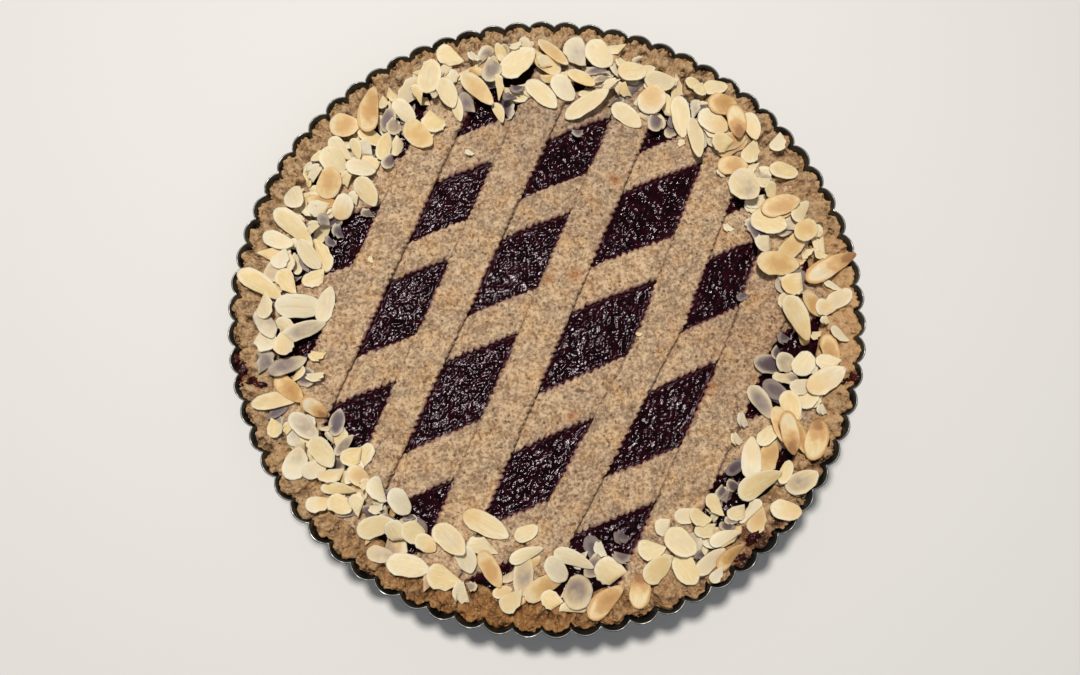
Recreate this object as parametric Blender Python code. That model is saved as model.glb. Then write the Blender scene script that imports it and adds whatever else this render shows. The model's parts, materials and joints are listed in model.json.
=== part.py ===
# A linzer tart baked in its own fluted tin: a nut dough case, dark jam, a lattice of
# ten dough strips and a wreath of flaked almonds round the edge.
# Metres, +Z up. The origin is the point on the table under the middle of the tin.

import math
import random

import bmesh
import bpy
from mathutils import Euler, Matrix, Vector, noise

MM = 0.001
TOUCH_GAP = 0.3 * MM

TIN_RADIUS = 140.0 * MM
TIN_HEEL_RADIUS = 133.4 * MM
TIN_HEIGHT = 30.0 * MM
TIN_HEEL_HEIGHT = 1.6 * MM
TIN_FLOOR = 0.8 * MM
TIN_SHEET = 0.8 * MM
TIN_FOOT_RADIUS = 130.6 * MM

FLUTES = 72
FLUTE_DEPTH = 2.7 * MM
FLUTE_SOFTNESS = 0.18
FIRST_FLUTE = math.radians(-3.97)
STEPS_PER_FLUTE = 4
WALL_STEPS = FLUTES * STEPS_PER_FLUTE

CRUST_CLEARANCE = 0.6 * MM
CRUST_FOOT_RADIUS = 129.0 * MM
CRUST_HEEL = 3.0 * MM
CRUST_WALL_TOP = 23.5 * MM
CRUST_LIP = 26.4 * MM
CRUST_LIP_BACK = 0.5 * MM
CRUST_LIP_TOP = 27.7 * MM
CRUST_LIP_TOP_BACK = 2.0 * MM
CRUST_FLOOR_TOP = 14.0 * MM
CRUST_CREST = 28.0 * MM
CRUST_CREST_RADIUS = 132.6 * MM
CRUST_SHOULDER_RADIUS = 129.6 * MM
CRUST_SHOULDER = 26.0 * MM
CRUST_INSIDE_RADIUS = 127.6 * MM
CRUST_FLOOR_RADIUS = 126.4 * MM
CRUST_LUMP = 0.5 * MM
CRUST_CREASE = 1.3 * MM
# the dough has drawn back from the tin on this side
SHRINK_SIDE = math.radians(-88.0)
SHRINK_SPREAD = math.radians(52.0)
SHRINK_DEPTH = 1.3 * MM

JAM_LEVEL = 21.5 * MM
JAM_RADIUS = 127.1 * MM
JAM_FLOOR_RADIUS = 125.9 * MM
JAM_EDGE_RADIUS = 122.0 * MM
JAM_EDGE_DROP = 0.4 * MM
JAM_WAVE = 0.3 * MM
JAM_STEPS = 72

STRIP_END_RADIUS = 126.6 * MM
STRIP_BOTTOM = JAM_LEVEL + TOUCH_GAP
LOWER_TOP = 24.6 * MM
LOWER_TOP_PRESSED = 23.6 * MM
UPPER_TOP = 24.9 * MM
UPPER_TOP_CROSSING = 26.3 * MM
STRIP_ROUND = 1.1 * MM
STRIP_WAVE = 0.25 * MM
CROSSING_MARGIN = 1.5 * MM
CROSSING_RAMP = 5.0 * MM
LONGEST_STEP = 11.0 * MM

# Each family of strips is measured along its normal from the middle of the tart.
UPPER_HEADING = math.radians(68.2)
LOWER_HEADING = math.radians(22.5)

ALMOND_THICK = 0.9 * MM
ALMOND_LENGTHS = (14.0 * MM, 21.0 * MM)
ALMOND_COUNT = 78
ALMOND_TRIES = 40
ALMOND_SEED = 40
ALMOND_EDGE_LIMIT = 134.4 * MM
ALMOND_LEAN = math.radians(13.0)
ALMOND_SUNK = 0.35 * MM
CORE_RADII = (111.6 * MM, 119.0 * MM, 126.4 * MM)
CORE_THICK = 1.0 * MM
CORE_STEPS = 72


def direction(heading):
    return Vector((math.cos(heading), math.sin(heading)))


def normal_of(heading, side):
    return direction(heading + side * math.pi / 2)


UPPER_NORMAL = normal_of(UPPER_HEADING, -1)
LOWER_NORMAL = normal_of(LOWER_HEADING, 1)
CROSS = UPPER_NORMAL.x * LOWER_NORMAL.y - UPPER_NORMAL.y * LOWER_NORMAL.x


def place_between(across, along):
    # the point at these offsets along the upper and the lower strips' normals
    x = (LOWER_NORMAL.y * across - UPPER_NORMAL.y * along) / CROSS
    y = (UPPER_NORMAL.x * along - LOWER_NORMAL.x * across) / CROSS
    return x, y


class Strip:
    # a strip's middle line and width in mm, which change a little along its length
    def __init__(self, middle, width, lean=0.0, taper=0.0, bend=0.0, bend_from=0.0):
        self.middle = middle * MM
        self.width = width * MM
        self.lean = lean
        self.taper = taper
        self.bend = bend
        self.bend_from = bend_from * MM

    def edge(self, along, share):
        middle = self.middle + self.lean * along
        middle += self.bend * min(0.0, along - self.bend_from)
        return middle + share * (self.width + self.taper * along) / 2

    def settle(self, others, place):
        # finds where the strip ends inside the case, and where the others cross it
        inset = 1.0 - 2 * STRIP_ROUND / self.width
        self.shares = (-1, -inset, inset, 1)
        self.spans = {share: self.span(share, place) for share in self.shares}
        self.low = min(span[0] for span in self.spans.values())
        self.high = max(span[1] for span in self.spans.values())
        short_low = max(span[0] for span in self.spans.values())
        short_high = min(span[1] for span in self.spans.values())
        self.bands = []
        for other in others:
            sides = [self.edge(other.middle, share) for share in (-1, 1)]
            low = min(other.edge(side, -1) for side in sides)
            high = max(other.edge(side, 1) for side in sides)
            if high > short_high:
                low = min(low, short_high)
            if low < short_low:
                high = max(high, short_low)
            self.bands.append((low, high))

    def span(self, share, place):
        # the first and last place along this line that lie inside the pastry case
        reach = 150 * MM
        fine = 0.1 * MM
        inside = []
        for step in range(int(2 * reach / fine)):
            along = step * fine - reach
            x, y = place(self.edge(along, share), along)
            if math.hypot(x, y) < STRIP_END_RADIUS:
                inside.append(along)
        return inside[0], inside[-1]

    def lift(self, along):
        # 1 where another strip crosses, falling to 0 over a short ramp beside it
        lifts = []
        for low, high in self.bands:
            outside = max(low - along, along - high) - CROSSING_MARGIN
            lifts.append(1.0 - min(1.0, max(0.0, outside / CROSSING_RAMP)))
        return max(lifts)

    def stations(self):
        marks = {self.low, self.high}
        for start, end in self.bands:
            for reach in (CROSSING_MARGIN, CROSSING_MARGIN + CROSSING_RAMP):
                marks.update((start - reach, end + reach))
        kept = sorted(mark for mark in marks if self.low <= mark <= self.high)
        filled = []
        for here, there in zip(kept, kept[1:]):
            pieces = max(1, math.ceil((there - here) / LONGEST_STEP))
            filled.extend(here + (there - here) * piece / pieces for piece in range(pieces))
        return filled + [kept[-1]]


UPPER_STRIPS = (
    Strip(-79.4, 18.7),
    Strip(-40.9, 16.7, lean=0.018, taper=0.035),
    Strip(1.6, 18.3, lean=0.024),
    Strip(50.5, 18.4, bend=0.2, bend_from=-30.0),
    Strip(90.0, 21.0, bend=0.12, bend_from=-48.0),
)
LOWER_STRIPS = (
    Strip(84.0, 18.0),
    Strip(45.2, 15.2, taper=0.018),
    Strip(1.7, 16.2, lean=-0.013),
    Strip(-45.0, 19.3, lean=0.034),
    Strip(-86.6, 17.0, lean=-0.02),
)

# Almonds that show best: middle x and y, turn in degrees, length and width, in mm.
SHOWN_ALMONDS = (
    (-127.0, 7.5, -32, 23, 8.0),
    (-109.5, -1.3, 0, 21, 10.0),
    (-117.5, -43.5, 12, 20, 8.0),
    (-113.0, -38.0, -38, 18, 8.0),
    (127.0, 16.5, 27, 24, 9.0),
    (104.0, 18.0, -8, 20, 10.0),
    (111.5, -8.0, -75, 21, 9.0),
    (120.0, -34.0, 28, 19, 9.0),
    (21.0, 121.5, -35, 23, 13.0),
    (-13.0, 115.5, 40, 19, 10.0),
    (2.3, 121.0, -30, 18, 8.0),
    (112.0, 31.0, 50, 20, 9.0),
    (22.5, -124.5, 40, 18, 8.5),
    (36.5, -121.5, 85, 14, 9.0),
    (-2.0, -120.0, 25, 20, 8.0),
)


def material(name, colour, roughness, metallic=0.0):
    made = bpy.data.materials.new(name)
    made.use_nodes = True
    shader = made.node_tree.nodes["Principled BSDF"]
    shader.inputs["Base Color"].default_value = (*colour, 1.0)
    shader.inputs["Roughness"].default_value = roughness
    shader.inputs["Metallic"].default_value = metallic
    return made


def add_object(name, shape, finish, smooth_below):
    mesh = bpy.data.meshes.new(name)
    shape.to_mesh(mesh)
    shape.free()
    mesh.materials.append(finish)
    mesh.shade_smooth()
    mesh.set_sharp_from_angle(angle=math.radians(smooth_below))
    made = bpy.data.objects.new(name, mesh)
    bpy.context.collection.objects.link(made)
    return made


def turned_from_rings(rings):
    # closes a stack of rings into one body; a ring may have a whole number of times
    # more points than its neighbour
    shape = bmesh.new()
    made = [[shape.verts.new(point) for point in ring] for ring in rings]
    shape.faces.new(made[0])
    shape.faces.new(made[-1])
    for low, high in zip(made, made[1:]):
        fine, coarse = (low, high) if len(low) >= len(high) else (high, low)
        share = len(fine) // len(coarse)
        for step in range(len(fine)):
            after = (step + 1) % len(fine)
            here = coarse[((step + share // 2) // share) % len(coarse)]
            there = coarse[((step + 1 + share // 2) // share) % len(coarse)]
            corners = [fine[step], fine[after], there]
            if here is not there:
                corners.append(here)
            shape.faces.new(corners)
    bmesh.ops.recalc_face_normals(shape, faces=shape.faces)
    return shape


def ring(radius_at, height_at, steps):
    points = []
    for step in range(steps):
        angle = FIRST_FLUTE + 2 * math.pi * step / steps
        radius = radius_at(angle)
        points.append((radius * math.cos(angle), radius * math.sin(angle), height_at(angle)))
    return points


def level(value):
    return lambda angle: value


def flute(angle):
    # 0 on the round outer crest of a flute, 1 in the crease between two
    across = math.cos((angle - FIRST_FLUTE) * FLUTES / 2)
    crest = math.sqrt(1.0 + FLUTE_SOFTNESS ** 2) - FLUTE_SOFTNESS
    return 1.0 - (math.sqrt(across ** 2 + FLUTE_SOFTNESS ** 2) - FLUTE_SOFTNESS) / crest


def tin_outside(height):
    share = (height - TIN_HEEL_HEIGHT) / (TIN_HEIGHT - TIN_HEEL_HEIGHT)
    crest = TIN_HEEL_RADIUS + share * (TIN_RADIUS - TIN_HEEL_RADIUS)
    return lambda angle: crest - FLUTE_DEPTH * flute(angle)


def tin_inside(height):
    outside = tin_outside(height)
    return lambda angle: outside(angle) - TIN_SHEET


def build_tin(finish):
    heel_inside = TIN_FLOOR + TIN_HEEL_HEIGHT
    shape = turned_from_rings([
        ring(level(TIN_FOOT_RADIUS), level(0.0), FLUTES),
        ring(tin_outside(TIN_HEEL_HEIGHT), level(TIN_HEEL_HEIGHT), WALL_STEPS),
        ring(tin_outside(TIN_HEIGHT), level(TIN_HEIGHT), WALL_STEPS),
        ring(tin_inside(TIN_HEIGHT), level(TIN_HEIGHT), WALL_STEPS),
        ring(tin_inside(heel_inside), level(heel_inside), WALL_STEPS),
        ring(level(TIN_FOOT_RADIUS - TIN_SHEET), level(TIN_FLOOR), FLUTES),
    ])
    return add_object("tin", shape, finish, 30)


def crust_lump(angle):
    # one lump of dough for each flute, no two alike
    along = (angle - FIRST_FLUTE) * FLUTES / (2 * math.pi)
    index = round(along) % FLUTES
    return random.Random(index).uniform(-1.0, 1.0)


def crust_shrink(angle):
    turn = math.remainder(angle - SHRINK_SIDE, 2 * math.pi)
    return SHRINK_DEPTH * math.exp(-(turn / SHRINK_SPREAD) ** 2)


def crust_outside(height, back):
    inside = tin_inside(height)
    return lambda angle: inside(angle) - CRUST_CLEARANCE - back * (1.0 + 0.3 * crust_lump(angle))


def crust_top_edge(height, back):
    wall = crust_outside(height, back)
    return lambda angle: wall(angle) - crust_shrink(angle)


def crust_height(height):
    def height_at(angle):
        return height + CRUST_LUMP * crust_lump(angle) - CRUST_CREASE * flute(angle)
    return height_at


def build_crust(finish):
    # up the outside, over the lumpy rim and down the inside to the case's floor
    lip = crust_top_edge(CRUST_LIP, CRUST_LIP_BACK)
    lip_top = crust_top_edge(CRUST_LIP_TOP, CRUST_LIP_TOP_BACK)
    inner_steps = FLUTES * 2
    shape = turned_from_rings([
        ring(level(CRUST_FOOT_RADIUS), level(TIN_FLOOR + TOUCH_GAP), FLUTES),
        ring(crust_outside(CRUST_HEEL, 0.0), level(CRUST_HEEL), WALL_STEPS),
        ring(crust_outside(CRUST_WALL_TOP, 0.0), level(CRUST_WALL_TOP), WALL_STEPS),
        ring(lip, crust_height(CRUST_LIP), WALL_STEPS),
        ring(lip_top, crust_height(CRUST_LIP_TOP), WALL_STEPS),
        ring(level(CRUST_CREST_RADIUS), crust_height(CRUST_CREST), inner_steps),
        ring(level(CRUST_SHOULDER_RADIUS), crust_height(CRUST_SHOULDER), inner_steps),
        ring(level(CRUST_INSIDE_RADIUS), level(JAM_LEVEL), FLUTES),
        ring(level(CRUST_FLOOR_RADIUS), level(CRUST_FLOOR_TOP), FLUTES),
    ])
    return add_object("crust", shape, finish, 50)


def build_jam(finish):
    def bump(angle):
        place = Vector((math.cos(angle) * 4.0, math.sin(angle) * 4.0, 0.5))
        return JAM_LEVEL - JAM_WAVE * abs(noise.noise(place))

    shape = turned_from_rings([
        ring(level(JAM_FLOOR_RADIUS), level(CRUST_FLOOR_TOP + TOUCH_GAP), JAM_STEPS),
        ring(level(JAM_RADIUS), level(JAM_LEVEL - JAM_EDGE_DROP), JAM_STEPS),
        ring(level(JAM_EDGE_RADIUS), bump, JAM_STEPS),
    ])
    return add_object("jam", shape, finish, 40)


def upper_heights(strip, along):
    lift = strip.lift(along)
    bottom = STRIP_BOTTOM + lift * (LOWER_TOP_PRESSED + TOUCH_GAP - STRIP_BOTTOM)
    top = UPPER_TOP + lift * (UPPER_TOP_CROSSING - UPPER_TOP)
    return bottom, top


def lower_heights(strip, along):
    return STRIP_BOTTOM, LOWER_TOP + strip.lift(along) * (LOWER_TOP_PRESSED - LOWER_TOP)


def build_strip(name, strip, place, heights, finish):
    left, left_top, right_top, right = strip.shares
    # each corner of the section: its share of the half width, and its level
    corners = (
        (left, "bottom"), (left, "side"), (left_top, "top"),
        (right_top, "top"), (right, "side"), (right, "bottom"),
    )
    shape = bmesh.new()
    rows = []
    for mark in strip.stations():
        row = []
        for share, kind in corners:
            first, last = strip.spans[share]
            along = min(max(mark, first), last)
            x, y = place(strip.edge(along, share), along)
            bottom, top = heights(strip, along)
            wave = STRIP_WAVE * abs(noise.noise(Vector((x, y, strip.middle)) * 60.0))
            z = {"bottom": bottom, "side": top - STRIP_ROUND, "top": top - wave}[kind]
            row.append(shape.verts.new((x, y, z)))
        rows.append(row)
    for here, there in zip(rows, rows[1:]):
        for corner in range(len(corners)):
            after = (corner + 1) % len(corners)
            shape.faces.new((here[corner], here[after], there[after], there[corner]))
    shape.faces.new(rows[0])
    shape.faces.new(rows[-1])
    bmesh.ops.remove_doubles(shape, verts=shape.verts, dist=0.02 * MM)
    bmesh.ops.recalc_face_normals(shape, faces=shape.faces)
    return add_object(name, shape, finish, 50)


def upper_place(across, along):
    return place_between(across, along)


def lower_place(across, along):
    return place_between(along, across)


def settle_lattice():
    for strip in UPPER_STRIPS:
        strip.settle(LOWER_STRIPS, upper_place)
    for strip in LOWER_STRIPS:
        strip.settle(UPPER_STRIPS, lower_place)


def build_lattice(finish):
    for index, strip in enumerate(LOWER_STRIPS, start=1):
        name = f"lattice_lower_{index}"
        build_strip(name, strip, lower_place, lower_heights, finish)
    for index, strip in enumerate(UPPER_STRIPS, start=1):
        name = f"lattice_upper_{index}"
        build_strip(name, strip, upper_place, upper_heights, finish)


def food_top(x, y):
    # the highest thing at this place under the almonds, a little on the safe side
    radius = math.hypot(x, y)
    if radius > TIN_RADIUS - FLUTE_DEPTH - TIN_SHEET - 1.0 * MM:
        return TIN_HEIGHT
    if radius > CRUST_SHOULDER_RADIUS - 0.4 * MM:
        return CRUST_CREST + CRUST_LUMP
    if radius > CRUST_INSIDE_RADIUS - 0.6 * MM:
        return CRUST_SHOULDER + CRUST_LUMP
    margin = 0.6 * MM
    across = UPPER_NORMAL.x * x + UPPER_NORMAL.y * y
    along = LOWER_NORMAL.x * x + LOWER_NORMAL.y * y
    top = JAM_LEVEL
    for strip in UPPER_STRIPS:
        if strip.edge(along, -1) - margin < across < strip.edge(along, 1) + margin:
            top = max(top, upper_heights(strip, along)[1])
    for strip in LOWER_STRIPS:
        if strip.edge(across, -1) - margin < along < strip.edge(across, 1) + margin:
            top = max(top, LOWER_TOP)
    return top


def core_grid():
    # heights of the almond bed's underside, above everything in the cells round each point
    grid = []
    cell = CORE_RADII[1] - CORE_RADII[0]
    samples = 9
    for radius in CORE_RADII:
        row = []
        inner = max(radius - cell, CORE_RADII[0])
        outer = min(radius + cell, CORE_RADII[-1])
        for step in range(CORE_STEPS):
            nearby = []
            for part in range(samples):
                angle = 2 * math.pi * (step - 1 + 2 * part / (samples - 1)) / CORE_STEPS
                for share in range(samples):
                    reach = inner + (outer - inner) * share / (samples - 1)
                    nearby.append(food_top(reach * math.cos(angle), reach * math.sin(angle)))
            row.append(max(nearby) + TOUCH_GAP)
        grid.append(row)
    return grid


def core_point(radius, step, height):
    angle = 2 * math.pi * step / CORE_STEPS
    return radius * math.cos(angle), radius * math.sin(angle), height


def build_core(grid):
    rows = list(zip(CORE_RADII, grid))
    under = [[core_point(radius, step, row[step]) for step in range(CORE_STEPS)] for radius, row in rows]
    over = [[(x, y, z + CORE_THICK) for x, y, z in line] for line in under]
    loop = under + over[::-1]
    shape = bmesh.new()
    made = [[shape.verts.new(point) for point in line] for line in loop]
    for here, there in zip(made, made[1:] + made[:1]):
        for step in range(CORE_STEPS):
            after = (step + 1) % CORE_STEPS
            shape.faces.new((here[step], here[after], there[after], there[step]))
    bmesh.ops.recalc_face_normals(shape, faces=shape.faces)
    return shape


def core_top(x, y, grid):
    # the bed's upper face at this place, or None beside the bed
    radius = math.hypot(x, y)
    if not CORE_RADII[0] <= radius <= CORE_RADII[-1]:
        return None
    turn = (math.atan2(y, x) % (2 * math.pi)) * CORE_STEPS / (2 * math.pi)
    step = int(turn) % CORE_STEPS
    after = (step + 1) % CORE_STEPS
    part = turn - int(turn)
    inner = 0 if radius < CORE_RADII[1] else 1
    share = (radius - CORE_RADII[inner]) / (CORE_RADII[inner + 1] - CORE_RADII[inner])
    low = grid[inner][step] * (1 - part) + grid[inner][after] * part
    high = grid[inner + 1][step] * (1 - part) + grid[inner + 1][after] * part
    return low * (1 - share) + high * share + CORE_THICK


def meets_bed(samples, grid):
    # whether some point of the almond lies inside the bed
    for spot in samples:
        bed = core_top(spot.x, spot.y, grid)
        if bed is not None and bed - CORE_THICK < spot.z < bed - 0.1 * MM:
            return True
    return False


def almond_support(x, y, grid):
    bed = core_top(x, y, grid)
    bare = food_top(x, y) + TOUCH_GAP
    return bare if bed is None else max(bare, bed - ALMOND_SUNK)


def almond(length, width, curl, halves):
    # a thin slice with one blunt and one pointed end, and twice this many points round
    shape = bmesh.new()
    for side in (-0.5, 0.5):
        outline = []
        for step in range(2 * halves):
            angle = math.pi * step / halves
            x = math.cos(angle) * length / 2
            y = math.sin(angle) * width / 2 * (1.0 - 0.22 * math.cos(angle))
            lift = curl * (2 * x / length) ** 2
            outline.append(shape.verts.new((x, y, side * ALMOND_THICK + lift)))
        for step in range(halves):
            mirror = (-step) % (2 * halves)
            corners = [outline[step], outline[step + 1], outline[2 * halves - step - 1], outline[mirror]]
            shape.faces.new(list(dict.fromkeys(corners)))
        if side < 0:
            under = outline
    for step in range(2 * halves):
        after = (step + 1) % (2 * halves)
        shape.faces.new((under[step], under[after], outline[after], outline[step]))
    bmesh.ops.recalc_face_normals(shape, faces=shape.faces)
    return shape


def lay_almond(x, y, turn, length, width, lift, halves, unrest, draw, grid):
    # rests on what is under its two ends and its middle, a little tipped by the unrest
    curl = unrest * draw.uniform(-0.4, 1.0) * MM
    shape = almond(length, width, curl, halves)
    reach = length * 0.45
    along = Vector((math.cos(turn), math.sin(turn)))
    far = almond_support(x + along.x * reach, y + along.y * reach, grid)
    near = almond_support(x - along.x * reach, y - along.y * reach, grid)
    pitch = math.atan2(near - far, 2 * reach)
    pitch = min(ALMOND_LEAN, max(-ALMOND_LEAN, pitch)) + unrest * math.radians(draw.uniform(-3, 3))
    roll = unrest * math.radians(draw.uniform(-7, 7))
    pose = Matrix.Translation((x, y, 0.0)) @ Euler((roll, pitch, turn)).to_matrix().to_4x4()
    bmesh.ops.transform(shape, matrix=pose, verts=shape.verts)
    samples = [vert.co.copy() for vert in shape.verts]
    samples += [face.calc_center_median() for face in shape.faces]
    samples += [(edge.verts[0].co + edge.verts[1].co) / 2 for edge in shape.edges]
    rise = max(almond_support(spot.x, spot.y, grid) - spot.z for spot in samples) + lift
    bmesh.ops.translate(shape, vec=(0, 0, rise), verts=shape.verts)
    for spot in samples:
        spot.z += rise
    return shape, meets_bed(samples, grid)


def scattered_place(index, draw):
    golden = math.pi * (3 - math.sqrt(5))
    angle = index * golden + draw.uniform(-0.06, 0.06)
    length = draw.uniform(*ALMOND_LENGTHS)
    width = length * draw.uniform(0.44, 0.6)
    turn = draw.uniform(0, 2 * math.pi)
    radial = abs(math.cos(turn - angle)) * length / 2
    farthest = min(ALMOND_EDGE_LIMIT - radial - 0.2 * width, CORE_RADII[-1] + 0.7 * radial)
    radius = draw.uniform(CORE_RADII[0] - 3.0 * MM, farthest)
    lift = draw.choice((0.0, 0.3, 0.6)) * MM
    return radius * math.cos(angle), radius * math.sin(angle), turn, length, width, lift, 3, 1.0


def laid_almonds(draw, grid):
    # the almonds that show best come first, then a seeded scatter round the ring, each
    # tried in a few places until it touches the bed
    for x, y, turn, length, width in SHOWN_ALMONDS:
        place = (x * MM, y * MM, math.radians(turn), length * MM, width * MM, 0.0, 4, 0.2)
        yield lay_almond(*place, draw, grid)[0]
    for index in range(ALMOND_COUNT):
        for _ in range(ALMOND_TRIES):
            shape, held = lay_almond(*scattered_place(index, draw), draw, grid)
            if held:
                yield shape
                break
            shape.free()


def largest_body(mesh):
    # a scrap that the bed doesn't reach, or a sealed hollow, is dropped
    shape = bmesh.new()
    shape.from_mesh(mesh)
    waiting = set(shape.verts)
    bodies = []
    while waiting:
        start = waiting.pop()
        body = {start}
        front = [start]
        while front:
            vert = front.pop()
            for edge in vert.link_edges:
                other = edge.other_vert(vert)
                if other not in body:
                    body.add(other)
                    front.append(other)
        waiting -= body
        bodies.append(body)
    kept = max(bodies, key=len)
    loose = [vert for vert in shape.verts if vert not in kept]
    bmesh.ops.delete(shape, geom=loose, context="VERTS")
    shape.to_mesh(mesh)
    shape.free()
    return len(bodies) - 1


def build_wreath(finish):
    draw = random.Random(ALMOND_SEED)
    grid = core_grid()
    heap = bpy.data.collections.new("almonds")
    bpy.context.scene.collection.children.link(heap)
    for index, shape in enumerate(laid_almonds(draw, grid)):
        mesh = bpy.data.meshes.new(f"almond_{index}")
        shape.to_mesh(mesh)
        shape.free()
        heap.objects.link(bpy.data.objects.new(mesh.name, mesh))
    wreath = add_object("almond_wreath", build_core(grid), finish, 30)
    join = wreath.modifiers.new("join", "BOOLEAN")
    join.operation = "UNION"
    join.operand_type = "COLLECTION"
    join.collection = heap
    join.solver = "MANIFOLD"
    evaluated = wreath.evaluated_get(bpy.context.evaluated_depsgraph_get())
    joined = bpy.data.meshes.new_from_object(evaluated)
    wreath.modifiers.remove(join)
    wreath.data = joined
    joined.materials.clear()
    joined.materials.append(finish)
    dropped = largest_body(joined)
    for piece in list(heap.objects):
        bpy.data.objects.remove(piece)
    bpy.data.collections.remove(heap)
    joined.shade_smooth()
    joined.set_sharp_from_angle(angle=math.radians(30))
    print("almonds left out:", dropped)
    return wreath


def main():
    for old in list(bpy.data.objects):
        bpy.data.objects.remove(old)
    settle_lattice()
    build_tin(material("black_non_stick", (0.018, 0.020, 0.021), 0.42, 0.35))
    build_crust(material("nut_crust", (0.40, 0.245, 0.115), 0.85))
    build_jam(material("dark_jam", (0.028, 0.004, 0.010), 0.18))
    build_lattice(material("nut_dough", (0.52, 0.36, 0.195), 0.88))
    build_wreath(material("flaked_almond", (0.82, 0.66, 0.42), 0.6))


main()
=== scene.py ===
import bpy
import bmesh
import json
import math
import random
import numpy as np
from mathutils import Matrix, Vector

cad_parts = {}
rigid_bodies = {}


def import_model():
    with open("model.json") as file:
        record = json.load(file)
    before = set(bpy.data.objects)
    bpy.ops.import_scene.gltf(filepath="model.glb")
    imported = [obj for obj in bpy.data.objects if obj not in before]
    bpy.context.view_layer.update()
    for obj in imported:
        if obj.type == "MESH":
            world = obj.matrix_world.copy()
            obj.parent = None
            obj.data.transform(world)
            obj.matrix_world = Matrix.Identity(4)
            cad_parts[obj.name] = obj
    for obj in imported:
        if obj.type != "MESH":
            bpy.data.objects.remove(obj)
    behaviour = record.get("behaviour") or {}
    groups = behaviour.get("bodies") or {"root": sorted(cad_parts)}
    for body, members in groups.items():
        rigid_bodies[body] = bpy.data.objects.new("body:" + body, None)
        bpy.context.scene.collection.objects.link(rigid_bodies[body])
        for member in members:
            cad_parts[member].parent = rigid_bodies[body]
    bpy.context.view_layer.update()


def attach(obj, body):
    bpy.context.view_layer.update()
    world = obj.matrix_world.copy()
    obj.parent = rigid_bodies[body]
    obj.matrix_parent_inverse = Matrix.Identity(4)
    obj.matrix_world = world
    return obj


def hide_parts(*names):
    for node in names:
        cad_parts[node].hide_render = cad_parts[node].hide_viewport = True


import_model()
mm = 0.001
fullTurn = 2 * math.pi


# helpers for meshes

def newMesh(name, points, faces, smooth=True):
    # faces is a list of arrays, each with three or four corners a row
    mesh = bpy.data.meshes.new(name)
    faces = [np.asarray(rows, dtype=np.int32) for rows in faces]
    corners = np.concatenate([rows.ravel() for rows in faces])
    sizes = np.concatenate([np.full(len(rows), rows.shape[1], dtype=np.int32) for rows in faces])
    starts = np.concatenate(([0], np.cumsum(sizes)[:-1])).astype(np.int32)
    mesh.vertices.add(len(points))
    mesh.vertices.foreach_set("co", np.asarray(points, dtype=np.float32).ravel())
    mesh.loops.add(len(corners))
    mesh.loops.foreach_set("vertex_index", corners)
    mesh.polygons.add(len(sizes))
    mesh.polygons.foreach_set("loop_start", starts)
    mesh.polygons.foreach_set("use_smooth", np.full(len(sizes), smooth, dtype=bool))
    mesh.update(calc_edges=True)
    return mesh


def newObject(name, mesh, finish=None):
    made = bpy.data.objects.new(name, mesh)
    if finish is not None:
        mesh.materials.append(finish)
    bpy.context.scene.collection.objects.link(made)
    return made


def giveAttribute(mesh, name, values):
    values = np.asarray(values, dtype=np.float32)
    kind, field = ("FLOAT_VECTOR", "vector") if values.ndim == 2 else ("FLOAT", "value")
    mesh.attributes.new(name, kind, "POINT").data.foreach_set(field, values.ravel())


def pointsOf(mesh):
    flat = np.empty(len(mesh.vertices) * 3, dtype=np.float32)
    mesh.vertices.foreach_get("co", flat)
    return flat.reshape(-1, 3).astype(float)


def pointRows(x, y, z):
    return np.stack([x, y, z], axis=-1).reshape(-1, 3)


def gridFaces(rows, columns, wrap=False):
    # quads over a grid of points stored row by row; wrap joins the last column to the first
    index = np.arange(rows * columns).reshape(rows, columns)
    if wrap:
        index = np.concatenate([index, index[:, :1]], axis=1)
    return np.stack([index[:-1, :-1], index[:-1, 1:], index[1:, 1:], index[1:, :-1]], axis=-1).reshape(-1, 4)


def ringFaces(rows, steps, start=0):
    # quads between rings of points, and the fans to the two poles that are stored after them
    here = np.arange(steps)
    after = (here + 1) % steps
    pole, last = rows * steps, (rows - 1) * steps
    low = np.stack([np.full(steps, pole), after, here], axis=1)
    high = np.stack([np.full(steps, pole + 1), last + here, last + after], axis=1)
    return gridFaces(rows, steps, True) + start, np.vstack([low, high]) + start


def editShape(mesh, *changes):
    # each change works on the mesh's faces and edges; then all faces are turned outward
    shape = bmesh.new()
    shape.from_mesh(mesh)
    for change in changes:
        change(shape)
    bmesh.ops.recalc_face_normals(shape, faces=shape.faces)
    shape.to_mesh(mesh)
    shape.free()


# helpers for node trees

def newTree(name, inputs):
    tree = bpy.data.node_groups.new(name, "GeometryNodeTree")
    tree.interface.new_socket("Geometry", in_out="INPUT", socket_type="NodeSocketGeometry")
    for label, kind in inputs:
        tree.interface.new_socket(label, in_out="INPUT", socket_type="NodeSocket" + kind)
    tree.interface.new_socket("Geometry", in_out="OUTPUT", socket_type="NodeSocketGeometry")
    return tree, tree.nodes.new("NodeGroupInput").outputs


def join(tree, value, socket):
    # a socket is linked, a value is set
    if isinstance(value, bpy.types.NodeSocket):
        tree.links.new(value, socket)
    elif value is not None:
        socket.default_value = value


def put(tree, kind, settings=None, **links):
    # a node with its settings, and its inputs by name
    node = tree.nodes.new(kind)
    for name, value in (settings or {}).items():
        setattr(node, name, value)
    for name, value in links.items():
        wanted = name.replace("_", " ")
        join(tree, value, next(socket for socket in node.inputs if socket.name == wanted and socket.enabled))
    return node


def calc(tree, operation, *values, clamp=False):
    node = put(tree, "ShaderNodeMath", {"operation": operation, "use_clamp": clamp})
    for value, socket in zip(values, node.inputs):
        join(tree, value, socket)
    return node.outputs[0]


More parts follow.
